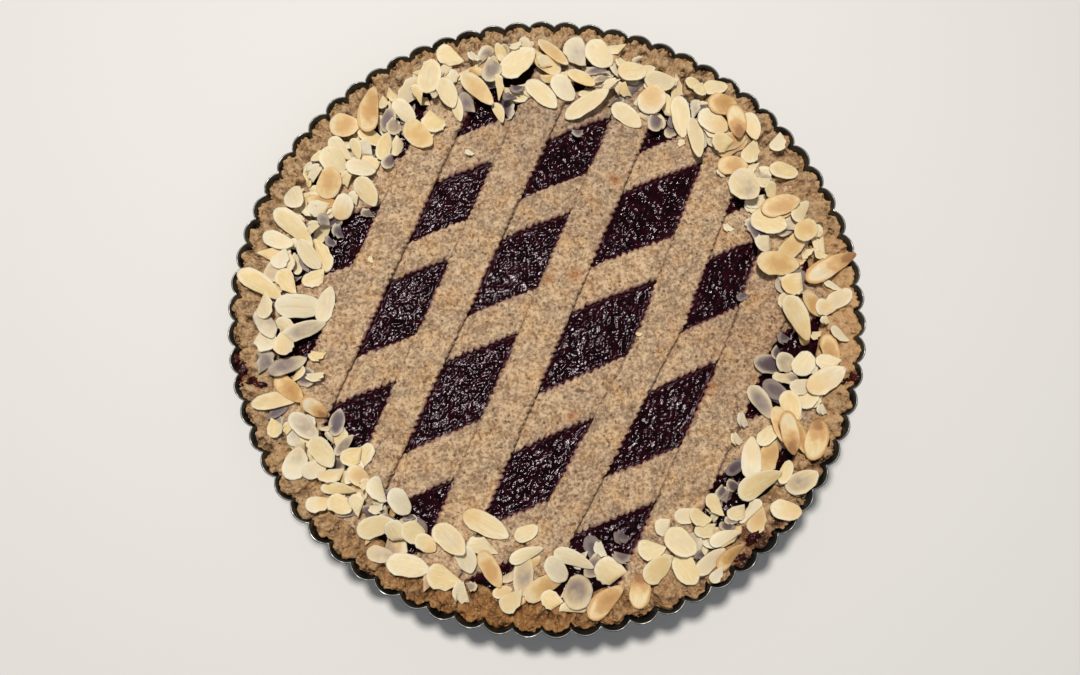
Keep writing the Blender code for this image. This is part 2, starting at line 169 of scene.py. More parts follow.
def vectorCalc(tree, operation, *values):
    node = put(tree, "ShaderNodeVectorMath", {"operation": operation})
    for value, socket in zip(values, node.inputs):
        join(tree, value, socket)
    return node.outputs["Value" if operation in ("LENGTH", "DISTANCE") else "Vector"]


def scaled(tree, vector, factor):
    node = put(tree, "ShaderNodeVectorMath", {"operation": "SCALE"}, Scale=factor)
    join(tree, vector, node.inputs[0])
    return node.outputs["Vector"]


def axesOf(tree, vector):
    return put(tree, "ShaderNodeSeparateXYZ", Vector=vector).outputs


def endTree(tree, geometry, material):
    # real faces with the material on them, and the place to add more materials after it
    realized = put(tree, "GeometryNodeRealizeInstances", Geometry=geometry)
    dressed = put(tree, "GeometryNodeSetMaterial", Geometry=realized.outputs[0], Material=material)
    end = tree.nodes.new("NodeGroupOutput").inputs[0]
    tree.links.new(dressed.outputs[0], end)
    return dressed.outputs[0], end


def runTree(piece, tree, values):
    # runs the tree on the piece and keeps the result as its plain mesh
    modifier = piece.modifiers.new(tree.name, "NODES")
    modifier.node_group = tree
    for item in tree.interface.items_tree:
        if item.item_type == "SOCKET" and item.in_out == "INPUT" and item.name in values:
            modifier[item.identifier] = values[item.name]
    graph = bpy.context.evaluated_depsgraph_get()
    mesh = bpy.data.meshes.new_from_object(piece.evaluated_get(graph), preserve_all_data_layers=True,
                                           depsgraph=graph)
    piece.modifiers.remove(modifier)
    old, name = piece.data, piece.data.name
    piece.data = mesh
    bpy.data.meshes.remove(old)
    mesh.name = name
    return piece


# helpers for noise

def smooth(value):
    value = np.clip(value, 0.0, 1.0)
    return value * value * (3 - 2 * value)


def cellValue(column, row, seed):
    # a repeatable value from 0 to 1 for each cell of a grid
    mixed = (column.astype(np.int64) * 73856093) ^ (row.astype(np.int64) * 19349663) ^ (seed * 83492791)
    mixed = (mixed ^ (mixed >> 13)) * 1274126177 & 0x7FFFFFFF
    mixed = (mixed ^ (mixed >> 15)) * 747796405 & 0x7FFFFFFF
    return ((mixed ^ (mixed >> 12)) & 0xFFFFF) / 0xFFFFF


def waves(x, y, size, seed):
    # smooth noise from -1 to 1 with bumps about this size
    u, v = x / size, y / size
    column, row = np.floor(u), np.floor(v)
    du, dv = u - column, v - row
    total = 0
    for right in (0, 1):
        for up in (0, 1):
            turn = fullTurn * cellValue(column + right, row + up, seed)
            reach = np.cos(turn) * (du - right) + np.sin(turn) * (dv - up)
            total = total + reach * smooth(1 - abs(du - right)) * smooth(1 - abs(dv - up))
    return total * 1.5


def noiseLayers(x, y, seed, *layers):
    # a sum of noises, each given by its depth and its size in mm
    return sum(depth * waves(x, y, size, seed + number) for number, (depth, size) in enumerate(layers))


# camera and light

cameraSet = dict(   # fitted to the photo
    place=(-9.3 * mm, -99.7 * mm, 379.1 * mm), lens=27.5, near=10 * mm,
    right=(0.99988, -0.00354, 0.01476), up=(0.0, 0.97241, 0.23327), back=(-0.01518, -0.23324, 0.97230),
)
lampSet = dict(
    key=dict(place=(-0.12, 0.29, 1.25), size=0.18, power=14.6, colour=(1.0, 0.955, 0.89), mirrored=True),
    fill=dict(place=(0.5, -0.9, 1.3), size=1.4, power=2.5, colour=(0.93, 0.96, 1.0), mirrored=False),
)
skySet = dict(colour=(0.93, 0.95, 1.0), power=0.17)
floorSet = dict(tone=(0.78, 0.77, 0.75), roughness=0.7, half=12.0)


def makeCamera():
    s = cameraSet
    camera = bpy.data.cameras.new("camera")
    camera.lens = s["lens"]
    camera.clip_start = s["near"]
    holder = bpy.data.objects.new("camera", camera)
    turn = Matrix((s["right"], s["up"], s["back"])).transposed()
    holder.matrix_world = Matrix.Translation(s["place"]) @ turn.to_4x4()
    bpy.context.scene.collection.objects.link(holder)
    bpy.context.scene.camera = holder


def makeLamp(name, place, size, power, colour, mirrored):
    # a round lamp that looks at the middle of the tart
    lamp = bpy.data.lights.new(name, "AREA")
    lamp.shape = "DISK"
    lamp.size = size
    lamp.energy = power
    lamp.color = colour
    holder = bpy.data.objects.new(name, lamp)
    holder.location = place
    holder.rotation_euler = Vector(place).to_track_quat("Z", "Y").to_euler()
    holder.visible_glossy = mirrored
    bpy.context.scene.collection.objects.link(holder)


def makeSky():
    world = bpy.data.worlds.new("studio")
    world.use_nodes = True
    background = world.node_tree.nodes["Background"]
    background.inputs["Color"].default_value = (*skySet["colour"], 1.0)
    background.inputs["Strength"].default_value = skySet["power"]
    bpy.context.scene.world = world
    bpy.context.scene.view_settings.view_transform = "Standard"


def makeFloor():
    s = floorSet
    finish = bpy.data.materials.new("paleFloor")
    finish.use_nodes = True
    shader = finish.node_tree.nodes["Principled BSDF"]
    shader.inputs["Base Color"].default_value = (*s["tone"], 1.0)
    shader.inputs["Roughness"].default_value = s["roughness"]
    corners = [(x * s["half"], y * s["half"], 0) for x, y in ((-1, -1), (1, -1), (1, 1), (-1, 1))]
    floor = newObject("floor", newMesh("floor", corners, [[(0, 1, 2, 3)]], False), finish)


makeCamera()
for name, lamp in lampSet.items():
    makeLamp(name, **lamp)
makeSky()
makeFloor()
print("stage: camera, lamps and floor")


# materials

# in a look, a noise has its size in mm, detail, roughness and shift, and a layer has the two values
# it comes in between, its strength and its colour; a place is x, y and reach in mm

class Finish:
    # a material built up of layers of colour, one after another
    def __init__(self, name, look):
        self.look = look
        self.made = bpy.data.materials.new(name)
        self.made.use_nodes = True
        self.tree = self.made.node_tree
        self.shader = self.tree.nodes["Principled BSDF"]
        self.shader.inputs["Roughness"].default_value = look["roughness"]
        self.shader.inputs["Specular IOR Level"].default_value = look["specular"]
        self.place = self.tree.nodes.new("ShaderNodeTexCoord").outputs["Object"]
        self.flat = vectorCalc(self.tree, "MULTIPLY", self.place, (1.0, 1.0, 0.0))
        self.base = look["base"]

    def shifted(self, shift):
        if not shift:
            return self.place
        return vectorCalc(self.tree, "ADD", self.place, (shift, shift * 0.7, -shift * 0.4))

    def noise(self, name):
        # clouds from 0 to 1
        size, detail, rough, shift = self.look[name]
        return put(self.tree, "ShaderNodeTexNoise", {"noise_dimensions": "3D"}, Vector=self.shifted(shift),
                   Scale=1.0 / (size * mm), Detail=detail, Roughness=rough).outputs[0]

    def grains(self, size, shift):
        # one random value for each crumb about this size
        node = put(self.tree, "ShaderNodeTexVoronoi", Vector=self.shifted(shift), Scale=1.0 / (size * mm))
        return put(self.tree, "ShaderNodeSeparateColor", Color=node.outputs["Color"]).outputs[0]

    def attribute(self, name, output="Fac"):
        return put(self.tree, "ShaderNodeAttribute", {"attribute_name": name}).outputs[output]

    def spot(self, x, y, reach):
        # 1 at this place on the tart, falling to 0 at its reach
        far = vectorCalc(self.tree, "DISTANCE", self.flat, (x * mm, y * mm, 0.0))
        return self.span(far, 0.0, reach * mm, 1.0, 0.0)

    def calc(self, operation, *values):
        return calc(self.tree, operation, *values)

    def plus(self, one, other):
        return self.calc("ADD", one, other)

    def times(self, first, *others):
        for other in others:
            first = self.calc("MULTIPLY", first, other)
        return first

    def span(self, value, low, high, start=0.0, end=1.0):
        # runs softly from start to end as the value goes from low to high
        node = put(self.tree, "ShaderNodeMapRange", {"clamp": True, "interpolation_type": "SMOOTHSTEP"})
        for socket, given in zip(node.inputs, (value, low, high, start, end)):
            join(self.tree, given, socket)
        return node.outputs[0]

    def mix(self, share, first, second, blend="MIX"):
        node = put(self.tree, "ShaderNodeMix", {"data_type": "RGBA", "blend_type": blend})
        join(self.tree, share, node.inputs[0])
        for value, socket in ((first, node.inputs[6]), (second, node.inputs[7])):
            join(self.tree, (*value, 1.0) if isinstance(value, tuple) else value, socket)
        return node.outputs[2]

    def cover(self, share, colour):
        self.base = self.mix(share, self.base, colour)

    def wash(self, share, colour):
        self.base = self.mix(share, self.base, colour, "MULTIPLY")

    def washAt(self, *spots):
        for x, y, reach, colour in spots:
            self.wash(self.spot(x, y, reach), colour)

    def layers(self, **values):
        # the look's layers of these names, each coming in with its value
        for name, value in values.items():
            low, high, strength, colour = self.look[name]
            self.cover(self.span(value, low, high, 0.0, strength), colour)

    def rough(self, value):
        join(self.tree, value, self.shader.inputs["Roughness"])

    def bump(self, height, depth, strength=1.0, under=None):
        node = put(self.tree, "ShaderNodeBump", Height=height, Distance=depth * mm, Strength=strength,
                   Normal=under)
        self.tree.links.new(node.outputs[0], self.shader.inputs["Normal"])
        return node.outputs[0]

    def ready(self):
        join(self.tree, self.base, self.shader.inputs["Base Color"])
        return self.made


coatingLook = dict(
    base=(0.006, 0.008, 0.008), roughness=0.34, specular=0.8,
    cloudNoise=(9.0, 3.0, 0.5, 0.0), cloudy=(0.35, 0.7, 1.0, (0.016, 0.019, 0.018)),
    dull=(0.3, 0.75, 0.26, 0.44), grainNoise=(0.35, 2.0, 0.5, 0.0), grainDepth=0.02,
)


def coatingFinish():
    s = coatingLook
    finish = Finish("blackCoating", s)
    cloud = finish.noise("cloudNoise")
    finish.layers(cloudy=cloud)
    finish.rough(finish.span(cloud, *s["dull"]))
    finish.bump(finish.noise("grainNoise"), s["grainDepth"])
    return finish.ready()


steelLook = dict(
    base=(0.13, 0.135, 0.13), roughness=0.3, specular=0.5, wearNoise=(3.0, 3.0, 0.5, 0.0),
    worn=(0.5, 0.7, 1.0, (0.34, 0.35, 0.34)), dull=(0.3, 0.7, 0.5, 0.34),
)


def steelFinish():
    finish = Finish("cutSteelEdge", steelLook)
    wear = finish.noise("wearNoise")
    finish.layers(worn=wear)
    finish.rough(finish.span(wear, *steelLook["dull"]))
    finish.shader.inputs["Metallic"].default_value = 1.0
    return finish.ready()


crustLook = dict(
    base=(0.55, 0.37, 0.205), roughness=0.88, specular=0.22, grainDepth=0.4, fineDepth=0.18,
    broadNoise=(24.0, 2.0, 0.5, 0.0), warmNoise=(8.0, 2.0, 0.5, 0.57), patchNoise=(4.5, 3.0, 0.6, 0.31),
    grainNoise=(0.9, 2.0, 0.6, 0.0), fineNoise=(0.4, 2.0, 0.6, 0.7), nuts=(1.0, 0.4),
    broad=(0.38, 0.62, 1.0, (0.48, 0.305, 0.155)),
    golden=(0.52, 0.68, 0.6, (0.47, 0.255, 0.095)),
    grey=(0.46, 0.32, 0.55, (0.47, 0.375, 0.245)),
    brown=(0.50, 0.70, 0.5, (0.33, 0.18, 0.075)),
    nearTin=(132.5 * mm, 138.5 * mm, 0.5, (0.46, 0.245, 0.09)),
    # painted shade in the hollows and cracks of the relief, and painted light on its raised lumps
    hollow=(-0.1, -1.1, 0.65, (0.17, 0.09, 0.045)),
    cracked=(0.15, 0.6, 0.7, (0.17, 0.09, 0.045)),
    raised=(0.1, 0.8, 0.5, (0.58, 0.41, 0.24)),
    paleNut=(0.62, 0.95, 0.6, (0.58, 0.40, 0.22)),
    darkNut=(0.26, 0.10, 0.5, (0.19, 0.105, 0.055)),
    stained=(0.0, 0.6, 1.0, (0.17, 0.055, 0.022)),
    jammy=(0.4, 0.8, 1.0, (0.03, 0.008, 0.007)),
    paleGrain=(0.54, 0.66, 0.55, (0.56, 0.39, 0.22)),
    darkGrain=(0.45, 0.35, 0.5, (0.20, 0.11, 0.06)),
    pit=(0.62, 0.74, 0.4, (0.12, 0.065, 0.035)),
    nearSide=(-25, -135, 95), nearColour=(0.34, 0.19, 0.085),
    rightSide=(130, -5, 80), rightColour=(0.60, 0.36, 0.165),
    mostBaked=(-20, -140, 120, (0.83, 0.66, 0.46)),
    # dried jam
    stains=[(-132, -31, 7), (132, -33, 5), (86, -102, 11), (80, -110, 8), (115, -69, 7), (95, -94, 5)],
)


def crustFinish():
    s = crustLook
    finish = Finish("nutCrust", s)
    warm, patch, grain, fine = map(finish.noise, ("warmNoise", "patchNoise", "grainNoise", "fineNoise"))
    nut, relief = finish.grains(*s["nuts"]), finish.attribute("relief")
    finish.layers(broad=finish.noise("broadNoise"))
    finish.cover(finish.spot(*s["nearSide"]), s["nearColour"])
    finish.layers(golden=warm, grey=warm, brown=patch)
    # the rim next to the tin is baked most; painted shade darkens the hollows and cracks, and painted light
    # brightens the raised lumps
    finish.layers(nearTin=vectorCalc(finish.tree, "LENGTH", finish.flat), hollow=relief,
                  cracked=finish.attribute("crack"), raised=relief, paleNut=nut, darkNut=nut)
    for place in s["stains"]:
        share = finish.times(finish.spot(*place), finish.span(patch, 0.35, 0.6, 0.4, 1.0))
        finish.layers(stained=share, jammy=share)
    finish.layers(paleGrain=grain, darkGrain=grain, pit=fine)
    golden = finish.times(finish.spot(*s["rightSide"]), finish.span(patch, 0.35, 0.6, 0.45, 0.75))
    finish.cover(golden, s["rightColour"])
    finish.washAt(s["mostBaked"])
    coarse = finish.bump(grain, s["grainDepth"], 0.9)
    finish.bump(fine, s["fineDepth"], 0.8, coarse)
    return finish.ready()


doughLook = dict(
    base=(0.57, 0.395, 0.22), roughness=0.85, specular=0.25, grainDepth=0.35, fineDepth=0.16,
    broadNoise=(26.0, 2.0, 0.5, 0.0), warmNoise=(9.0, 2.0, 0.5, 0.13), patchNoise=(3.8, 3.0, 0.65, 0.41),
    mottleNoise=(1.5, 2.0, 0.6, 0.77), grainNoise=(0.8, 2.0, 0.6, 0.0), fineNoise=(0.4, 2.0, 0.6, 0.9),
    nuts=(1.1, 0.2),
    broad=(0.38, 0.62, 1.0, (0.45, 0.32, 0.195)),
    golden=(0.50, 0.66, 0.85, (0.60, 0.365, 0.155)),
    grey=(0.47, 0.33, 0.7, (0.42, 0.335, 0.215)),
    flank=(0.55, 0.95, 0.5, (0.50, 0.37, 0.27)),
    darkPatch=(0.50, 0.38, 0.65, (0.27, 0.19, 0.11)),
    palePatch=(0.51, 0.62, 0.7, (0.75, 0.58, 0.34)),
    # painted shade in the hollows of the relief
    hollow=(0.0, -0.5, 0.5, (0.24, 0.145, 0.075)),
    paleMottle=(0.53, 0.64, 0.65, (0.74, 0.57, 0.37)),
    darkMottle=(0.47, 0.36, 0.7, (0.21, 0.135, 0.07)),
    paleGrain=(0.54, 0.66, 0.45, (0.70, 0.53, 0.33)),
    darkGrain=(0.45, 0.33, 0.5, (0.21, 0.13, 0.065)),
    darkNut=(0.035, 0.015, 0.75, (0.12, 0.065, 0.04)),
    redNut=(0.985, 0.995, 0.7, (0.30, 0.12, 0.05)),
    # painted shade where the strips meet
    seam=(0.75, 1.3, 0.7, (0.15, 0.095, 0.062)),
    fringe=(0.95, 1.4, 0.75, (0.30, 0.13, 0.12)),
    jammy=(0.72, 0.98, 0.7, (0.17, 0.045, 0.02)),
    soakedColour=(0.10, 0.022, 0.024), stainColour=(0.42, 0.16, 0.045), tint=(0.965, 0.92, 0.945),
    farSide=(8, 104, 80, (0.80, 0.81, 0.87)),   # greyest
    rightSide=(105, -15, 60, (0.84, 0.79, 0.78)),   # more baked
    # jam that has boiled up on the strips
    stains=[(12, 14, 6), (0, 12, 4), (31, 60, 5), (10, -50, 4), (71, -37, 5)],
)


def doughFinish():
    s = doughLook
    finish = Finish("nutDough", s)
    warm, patch, mottle = map(finish.noise, ("warmNoise", "patchNoise", "mottleNoise"))
    grain, fine, nut = finish.noise("grainNoise"), finish.noise("fineNoise"), finish.grains(*s["nuts"])
    # the relief's hollows get painted shade
    finish.layers(broad=finish.noise("broadNoise"), golden=warm, grey=warm, flank=finish.attribute("side"),
                  darkPatch=patch, palePatch=patch, hollow=finish.attribute("relief"), paleMottle=mottle,
                  darkMottle=mottle, paleGrain=grain, darkGrain=grain, darkNut=nut, redNut=nut)
    # jam in the sides, shade where strips meet, and a dark fringe along the cut edges
    soak = finish.attribute("soak")
    soaked = finish.span(finish.plus(soak, mottle), 0.85, 1.25)
    finish.cover(finish.times(soaked, finish.span(soak, 0.0, 0.2)), s["soakedColour"])
    finish.layers(seam=finish.plus(finish.attribute("seam"), finish.times(patch, 0.9)),
                  fringe=finish.plus(finish.attribute("fringe"), finish.times(mottle, 0.9)))
    for place in s["stains"]:
        share = finish.times(finish.spot(*place), finish.span(grain, 0.35, 0.6, 0.3, 1.0))
        finish.cover(finish.times(share, 0.85), s["stainColour"])
        finish.layers(jammy=share)
    finish.wash(1.0, s["tint"])
    finish.washAt(s["farSide"], s["rightSide"])
    coarse = finish.bump(grain, s["grainDepth"], 0.9)
    finish.bump(fine, s["fineDepth"], 0.8, coarse)
    return finish.ready()


jamLook = dict(
    base=(0.005, 0.0004, 0.0011), roughness=0.2, specular=0.175, specularTint=(0.97, 0.86, 0.97, 1.0),
    cloudNoise=(4.0, 3.0, 0.6, 0.0), cloudy=(0.4, 0.7, 1.0, (0.019, 0.0012, 0.0036)),
    dull=(0.3, 0.8, 0.10, 0.16), thinColour=(0.050, 0.003, 0.008), thinDull=0.4,
    bakedFrom=25.0 * mm, bakedTo=27.0 * mm, bakedDark=(0.02, 0.003, 0.003), bakedPale=(0.06, 0.009, 0.005),
    glintNoise=(0.75, 1.0, 0.5, 0.2), glintDepth=0.11,
)


def jamFinish():
    s = jamLook
    finish = Finish("darkJam", s)
    cloud = finish.noise("cloudNoise")
    thin = finish.attribute("thin")
    finish.layers(cloudy=cloud)
    finish.cover(thin, s["thinColour"])
    # what has boiled over on to the rim is baked brown
    baked = finish.span(axesOf(finish.tree, finish.place)[2], s["bakedFrom"], s["bakedTo"])
    finish.cover(baked, finish.mix(finish.span(cloud, 0.4, 0.6), s["bakedDark"], s["bakedPale"]))
    finish.rough(finish.plus(finish.span(cloud, *s["dull"]), finish.times(thin, s["thinDull"])))
    finish.bump(finish.noise("glintNoise"), s["glintDepth"])
    finish.shader.inputs["Specular Tint"].default_value = s["specularTint"]
    return finish.ready()


almondLook = dict(
    base=(0.78, 0.705, 0.53), yellow=(0.78, 0.59, 0.265), roughness=0.55, specular=0.35,
    cloudNoise=(4.0, 2.0, 0.5, 0.3), creamy=(0.4, 0.7, 0.4, (0.83, 0.74, 0.52)),
    fibres=(3.0, 16.0, 1.0), darkFibre=(0.44, 0.30, 0.5, (0.66, 0.50, 0.29)),
    paleFibre=(0.56, 0.70, 0.5, (0.87, 0.81, 0.64)),
    # the pale rim is painted light shining through the thin edge
    middle=(0.10, 0.0, 0.35, (0.80, 0.63, 0.36)), paleRim=(0.11, 0.25, 0.55, (0.85, 0.785, 0.63)),
    glassColour=(0.56, 0.53, 0.49), seamColour=(0.55, 0.42, 0.25),
    toasted=(0.0, 0.45, 0.75, (0.75, 0.51, 0.22)), brown=(0.3, 0.75, 0.8, (0.56, 0.30, 0.10)),
    darkBrown=(0.78, 1.04, 0.75, (0.24, 0.09, 0.03)),
    wetColour=(0.19, 0.138, 0.16), wettestColour=(0.085, 0.055, 0.072),
    waveNoise=(0.8, 3.0, 0.6, 0.0), waveDepth=0.06, clearness=0.3, glow=(1.0, 0.75, 0.45), glowDepth=0.9,
)


def almondFinish():
    s = almondLook
    finish = Finish("flakedAlmond", s)
    tree = finish.tree
    tone, toast, stain, where, glass = map(finish.attribute, ("tone", "toast", "stain", "where", "glass"))
    place = finish.attribute("flakeMap", "Vector")
    along, across, _ = axesOf(tree, place)
    cloud = finish.noise("cloudNoise")
    uneven = finish.calc("SUBTRACT", cloud, 0.5)
    finish.cover(tone, s["yellow"])
    # fine fibres run along the flake
    fibres = vectorCalc(tree, "MULTIPLY", place, s["fibres"])
    fibres = vectorCalc(tree, "ADD", fibres, scaled(tree, finish.place, 60.0))
    streak = put(tree, "ShaderNodeTexNoise", {"noise_dimensions": "3D"}, Scale=1.0, Detail=2.0,
                 Vector=fibres).outputs[0]
    # it is thinner towards the rim, where painted light shining through makes it paler, and glassy and
    # greyish in the middle
    rim = finish.plus(finish.times(along, along), finish.times(across, across))
    finish.layers(creamy=cloud, darkFibre=streak, paleFibre=streak, middle=rim, paleRim=rim)
    glassy = finish.span(finish.plus(rim, finish.times(cloud, 0.3)), 0.40, 0.10)
    finish.cover(finish.times(glassy, finish.span(glass, 0.5, 1.0, 0.0, 0.42)), s["glassColour"])
    # some have the line of the kernel's seam
    seam = finish.times(finish.span(finish.calc("ABSOLUTE", across), 0.0, 0.05, 0.35, 0.0),
                        finish.span(finish.calc("ABSOLUTE", along), 0.30, 0.22),
                        finish.calc("LESS_THAN", where, -0.35))
    finish.cover(seam, s["seamColour"])
    # toast spreads from one place on the flake and along its border
    away, wide = finish.calc("SUBTRACT", along, where), finish.times(across, 0.75)
    far = finish.calc("SQRT", finish.plus(finish.times(away, away), finish.times(wide, wide)))
    far = finish.plus(far, finish.times(uneven, 0.5))
    border = finish.span(finish.plus(rim, finish.times(cloud, 0.10)), 0.16, 0.31, 0.0, 0.75)
    spot = finish.calc("MAXIMUM", finish.times(finish.span(far, 0.72, 0.04), toast),
                       finish.times(border, finish.span(toast, 0.3, 1.0)))
    finish.layers(toasted=spot, brown=spot, darkBrown=spot)
    # jam soaks in from the end that lies in it and leaves the rim pale
    soaked = finish.span(finish.plus(stain, finish.times(uneven, 0.7)), 0.2, 0.85)
    dryRim = finish.span(finish.plus(rim, finish.times(cloud, 0.16)), 0.32, 0.10, 0.2, 0.92)
    inside = finish.calc("MAXIMUM", dryRim, finish.span(glass, 0.2, 0.8, 0.1, 0.65))
    wetEnd = finish.plus(finish.times(along, where), finish.times(finish.calc("SUBTRACT", stain, 0.4), 0.25))
    soaked = finish.times(soaked, finish.span(stain, 0.02, 0.1), inside,
                          finish.span(wetEnd, -0.10, 0.10, 0.4, 1.0))
    finish.cover(soaked, s["wetColour"])
    finish.cover(finish.times(soaked, finish.span(stain, 0.5, 0.95, 0.0, 0.92)), s["wettestColour"])
    finish.bump(finish.noise("waveNoise"), s["waveDepth"], 0.5)
    finish.shader.inputs["Subsurface Weight"].default_value = s["clearness"]
    finish.shader.inputs["Subsurface Radius"].default_value = s["glow"]
    finish.shader.inputs["Subsurface Scale"].default_value = s["glowDepth"] * mm
    return finish.ready()


# the tin

tinSet = dict(
    flutes=72, fluteDepth=2.7 * mm, roundness=0.62, firstFlute=math.radians(-3.97), stepsPerFlute=14,
    rim=140.0 * mm, heel=133.4 * mm, foot=130.6 * mm, height=30.0 * mm, heelHeight=1.6 * mm,
    sheet=0.65 * mm, floor=0.8 * mm, wallRows=16, bevel=0.12 * mm, bare=0.11 * mm,
)


def fluteDip(angle):
    # 0 on the round outer crest of a flute, 1 in the crease between two arcs
    s = tinSet
    turn = (angle - s["firstFlute"]) * s["flutes"] / fullTurn
    away = 2 * abs(turn - np.round(turn))
    arc = 1 - np.sqrt(1 - (s["roundness"] * away) ** 2)
    return arc / (1 - math.sqrt(1 - s["roundness"] ** 2))


def tinCrest(z):
    # radius of the crests at this height, in mm
    s = tinSet
    share = (z * mm - s["heelHeight"]) / (s["height"] - s["heelHeight"])
    return (s["heel"] + share * (s["rim"] - s["heel"])) / mm


def tinSection():
    # radius and height from the middle underneath, up the outside, over and back inside
    s = tinSet
    rise = s["height"] - s["heelHeight"]
    slope = (s["rim"] - s["heel"]) / rise
    shares = np.linspace(0, 1, s["wallRows"] + 1)
    outside = [(s["heel"] + slope * share * rise, s["heelHeight"] + share * rise) for share in shares[:-1]]
    inside = []
    for share in shares[::-1]:
        z = s["floor"] + share * (rise - s["floor"] - s["bevel"])
        inside.append((s["heel"] + slope * z - s["sheet"], s["heelHeight"] + z))
    edge = [(s["rim"], s["height"] - s["bevel"]), (s["rim"] - s["bevel"], s["height"]),
            (s["rim"] - s["sheet"] + s["bevel"], s["height"])]
    start = [(0.0, 0.0), (0.5 * s["foot"], 0.0), (s["foot"], 0.0)]
    end = [(s["foot"] - s["sheet"], s["floor"]), (0.5 * s["foot"], s["floor"]), (0.0, s["floor"])]
    return np.array(start + outside + edge + inside + end)


def turned(name, section, steps, first):
    # a section turned round the middle, its first and last points being the two poles
    angles = first + fullTurn * np.arange(steps) / steps
    radius, height = section[1:-1, :1], section[1:-1, 1:]
    points = pointRows(radius * np.cos(angles), radius * np.sin(angles), np.repeat(height, steps, axis=1))
    points = np.vstack([points, (0, 0, section[0, 1]), (0, 0, section[-1, 1])])
    return newMesh(name, points, ringFaces(len(height), steps))


def fluteTree():
    # presses flutes into a plain turned wall and bares the steel on its cut edge
    tree, given = newTree("fluteWall", [
        ("Flutes", "Float"), ("Depth", "Float"), ("Roundness", "Float"), ("First flute", "Float"),
        ("Foot", "Float"), ("Heel", "Float"), ("Edge height", "Float"), ("Edge", "Material"),
        ("Coating", "Material")])
    position = tree.nodes.new("GeometryNodeInputPosition").outputs[0]
    x, y, z = axesOf(tree, position)
    flat = vectorCalc(tree, "MULTIPLY", position, (1.0, 1.0, 0.0))
    turn = calc(tree, "SUBTRACT", calc(tree, "ARCTAN2", y, x), given["First flute"])
    turn = calc(tree, "DIVIDE", calc(tree, "MULTIPLY", turn, given["Flutes"]), fullTurn)
    away = calc(tree, "MULTIPLY", calc(tree, "PINGPONG", turn, 0.5), 2.0)

    def arc(reach):
        reach = calc(tree, "MULTIPLY", reach, given["Roundness"])
        square = calc(tree, "MULTIPLY", reach, reach)
        return calc(tree, "SUBTRACT", 1.0, calc(tree, "SQRT", calc(tree, "SUBTRACT", 1.0, square)))

    dip = calc(tree, "DIVIDE", arc(away), arc(1.0))
    onWall = put(tree, "ShaderNodeMapRange")
    for socket, value in zip(onWall.inputs, (vectorCalc(tree, "LENGTH", flat), given["Foot"], given["Heel"])):
        join(tree, value, socket)
    push = calc(tree, "MULTIPLY", calc(tree, "MULTIPLY", dip, given["Depth"]), onWall.outputs[0])
    inward = scaled(tree, vectorCalc(tree, "NORMALIZE", flat), calc(tree, "MULTIPLY", push, -1.0))
    moved = put(tree, "GeometryNodeSetPosition", Geometry=given["Geometry"], Offset=inward)
    coated, end = endTree(tree, moved.outputs[0], given["Coating"])
    bared = put(tree, "GeometryNodeSetMaterial", Geometry=coated, Material=given["Edge"],
                Selection=calc(tree, "GREATER_THAN", z, given["Edge height"]))
    tree.links.new(bared.outputs[0], end)
    return tree


def makeTin():
    s = tinSet
    mesh = turned("tinShell", tinSection(), s["flutes"] * s["stepsPerFlute"], s["firstFlute"])
    return runTree(newObject("tinShell", mesh), fluteTree(), {
        "Flutes": float(s["flutes"]), "Depth": s["fluteDepth"], "Roundness": s["roundness"],
        "First flute": s["firstFlute"], "Foot": s["foot"], "Heel": s["heel"],
        "Edge height": s["height"] - s["bare"], "Edge": steelFinish(), "Coating": coatingFinish()})


tinShell = makeTin()
print("tin:", len(tinShell.data.polygons), "faces")


# crumbly relief for the case and the strips

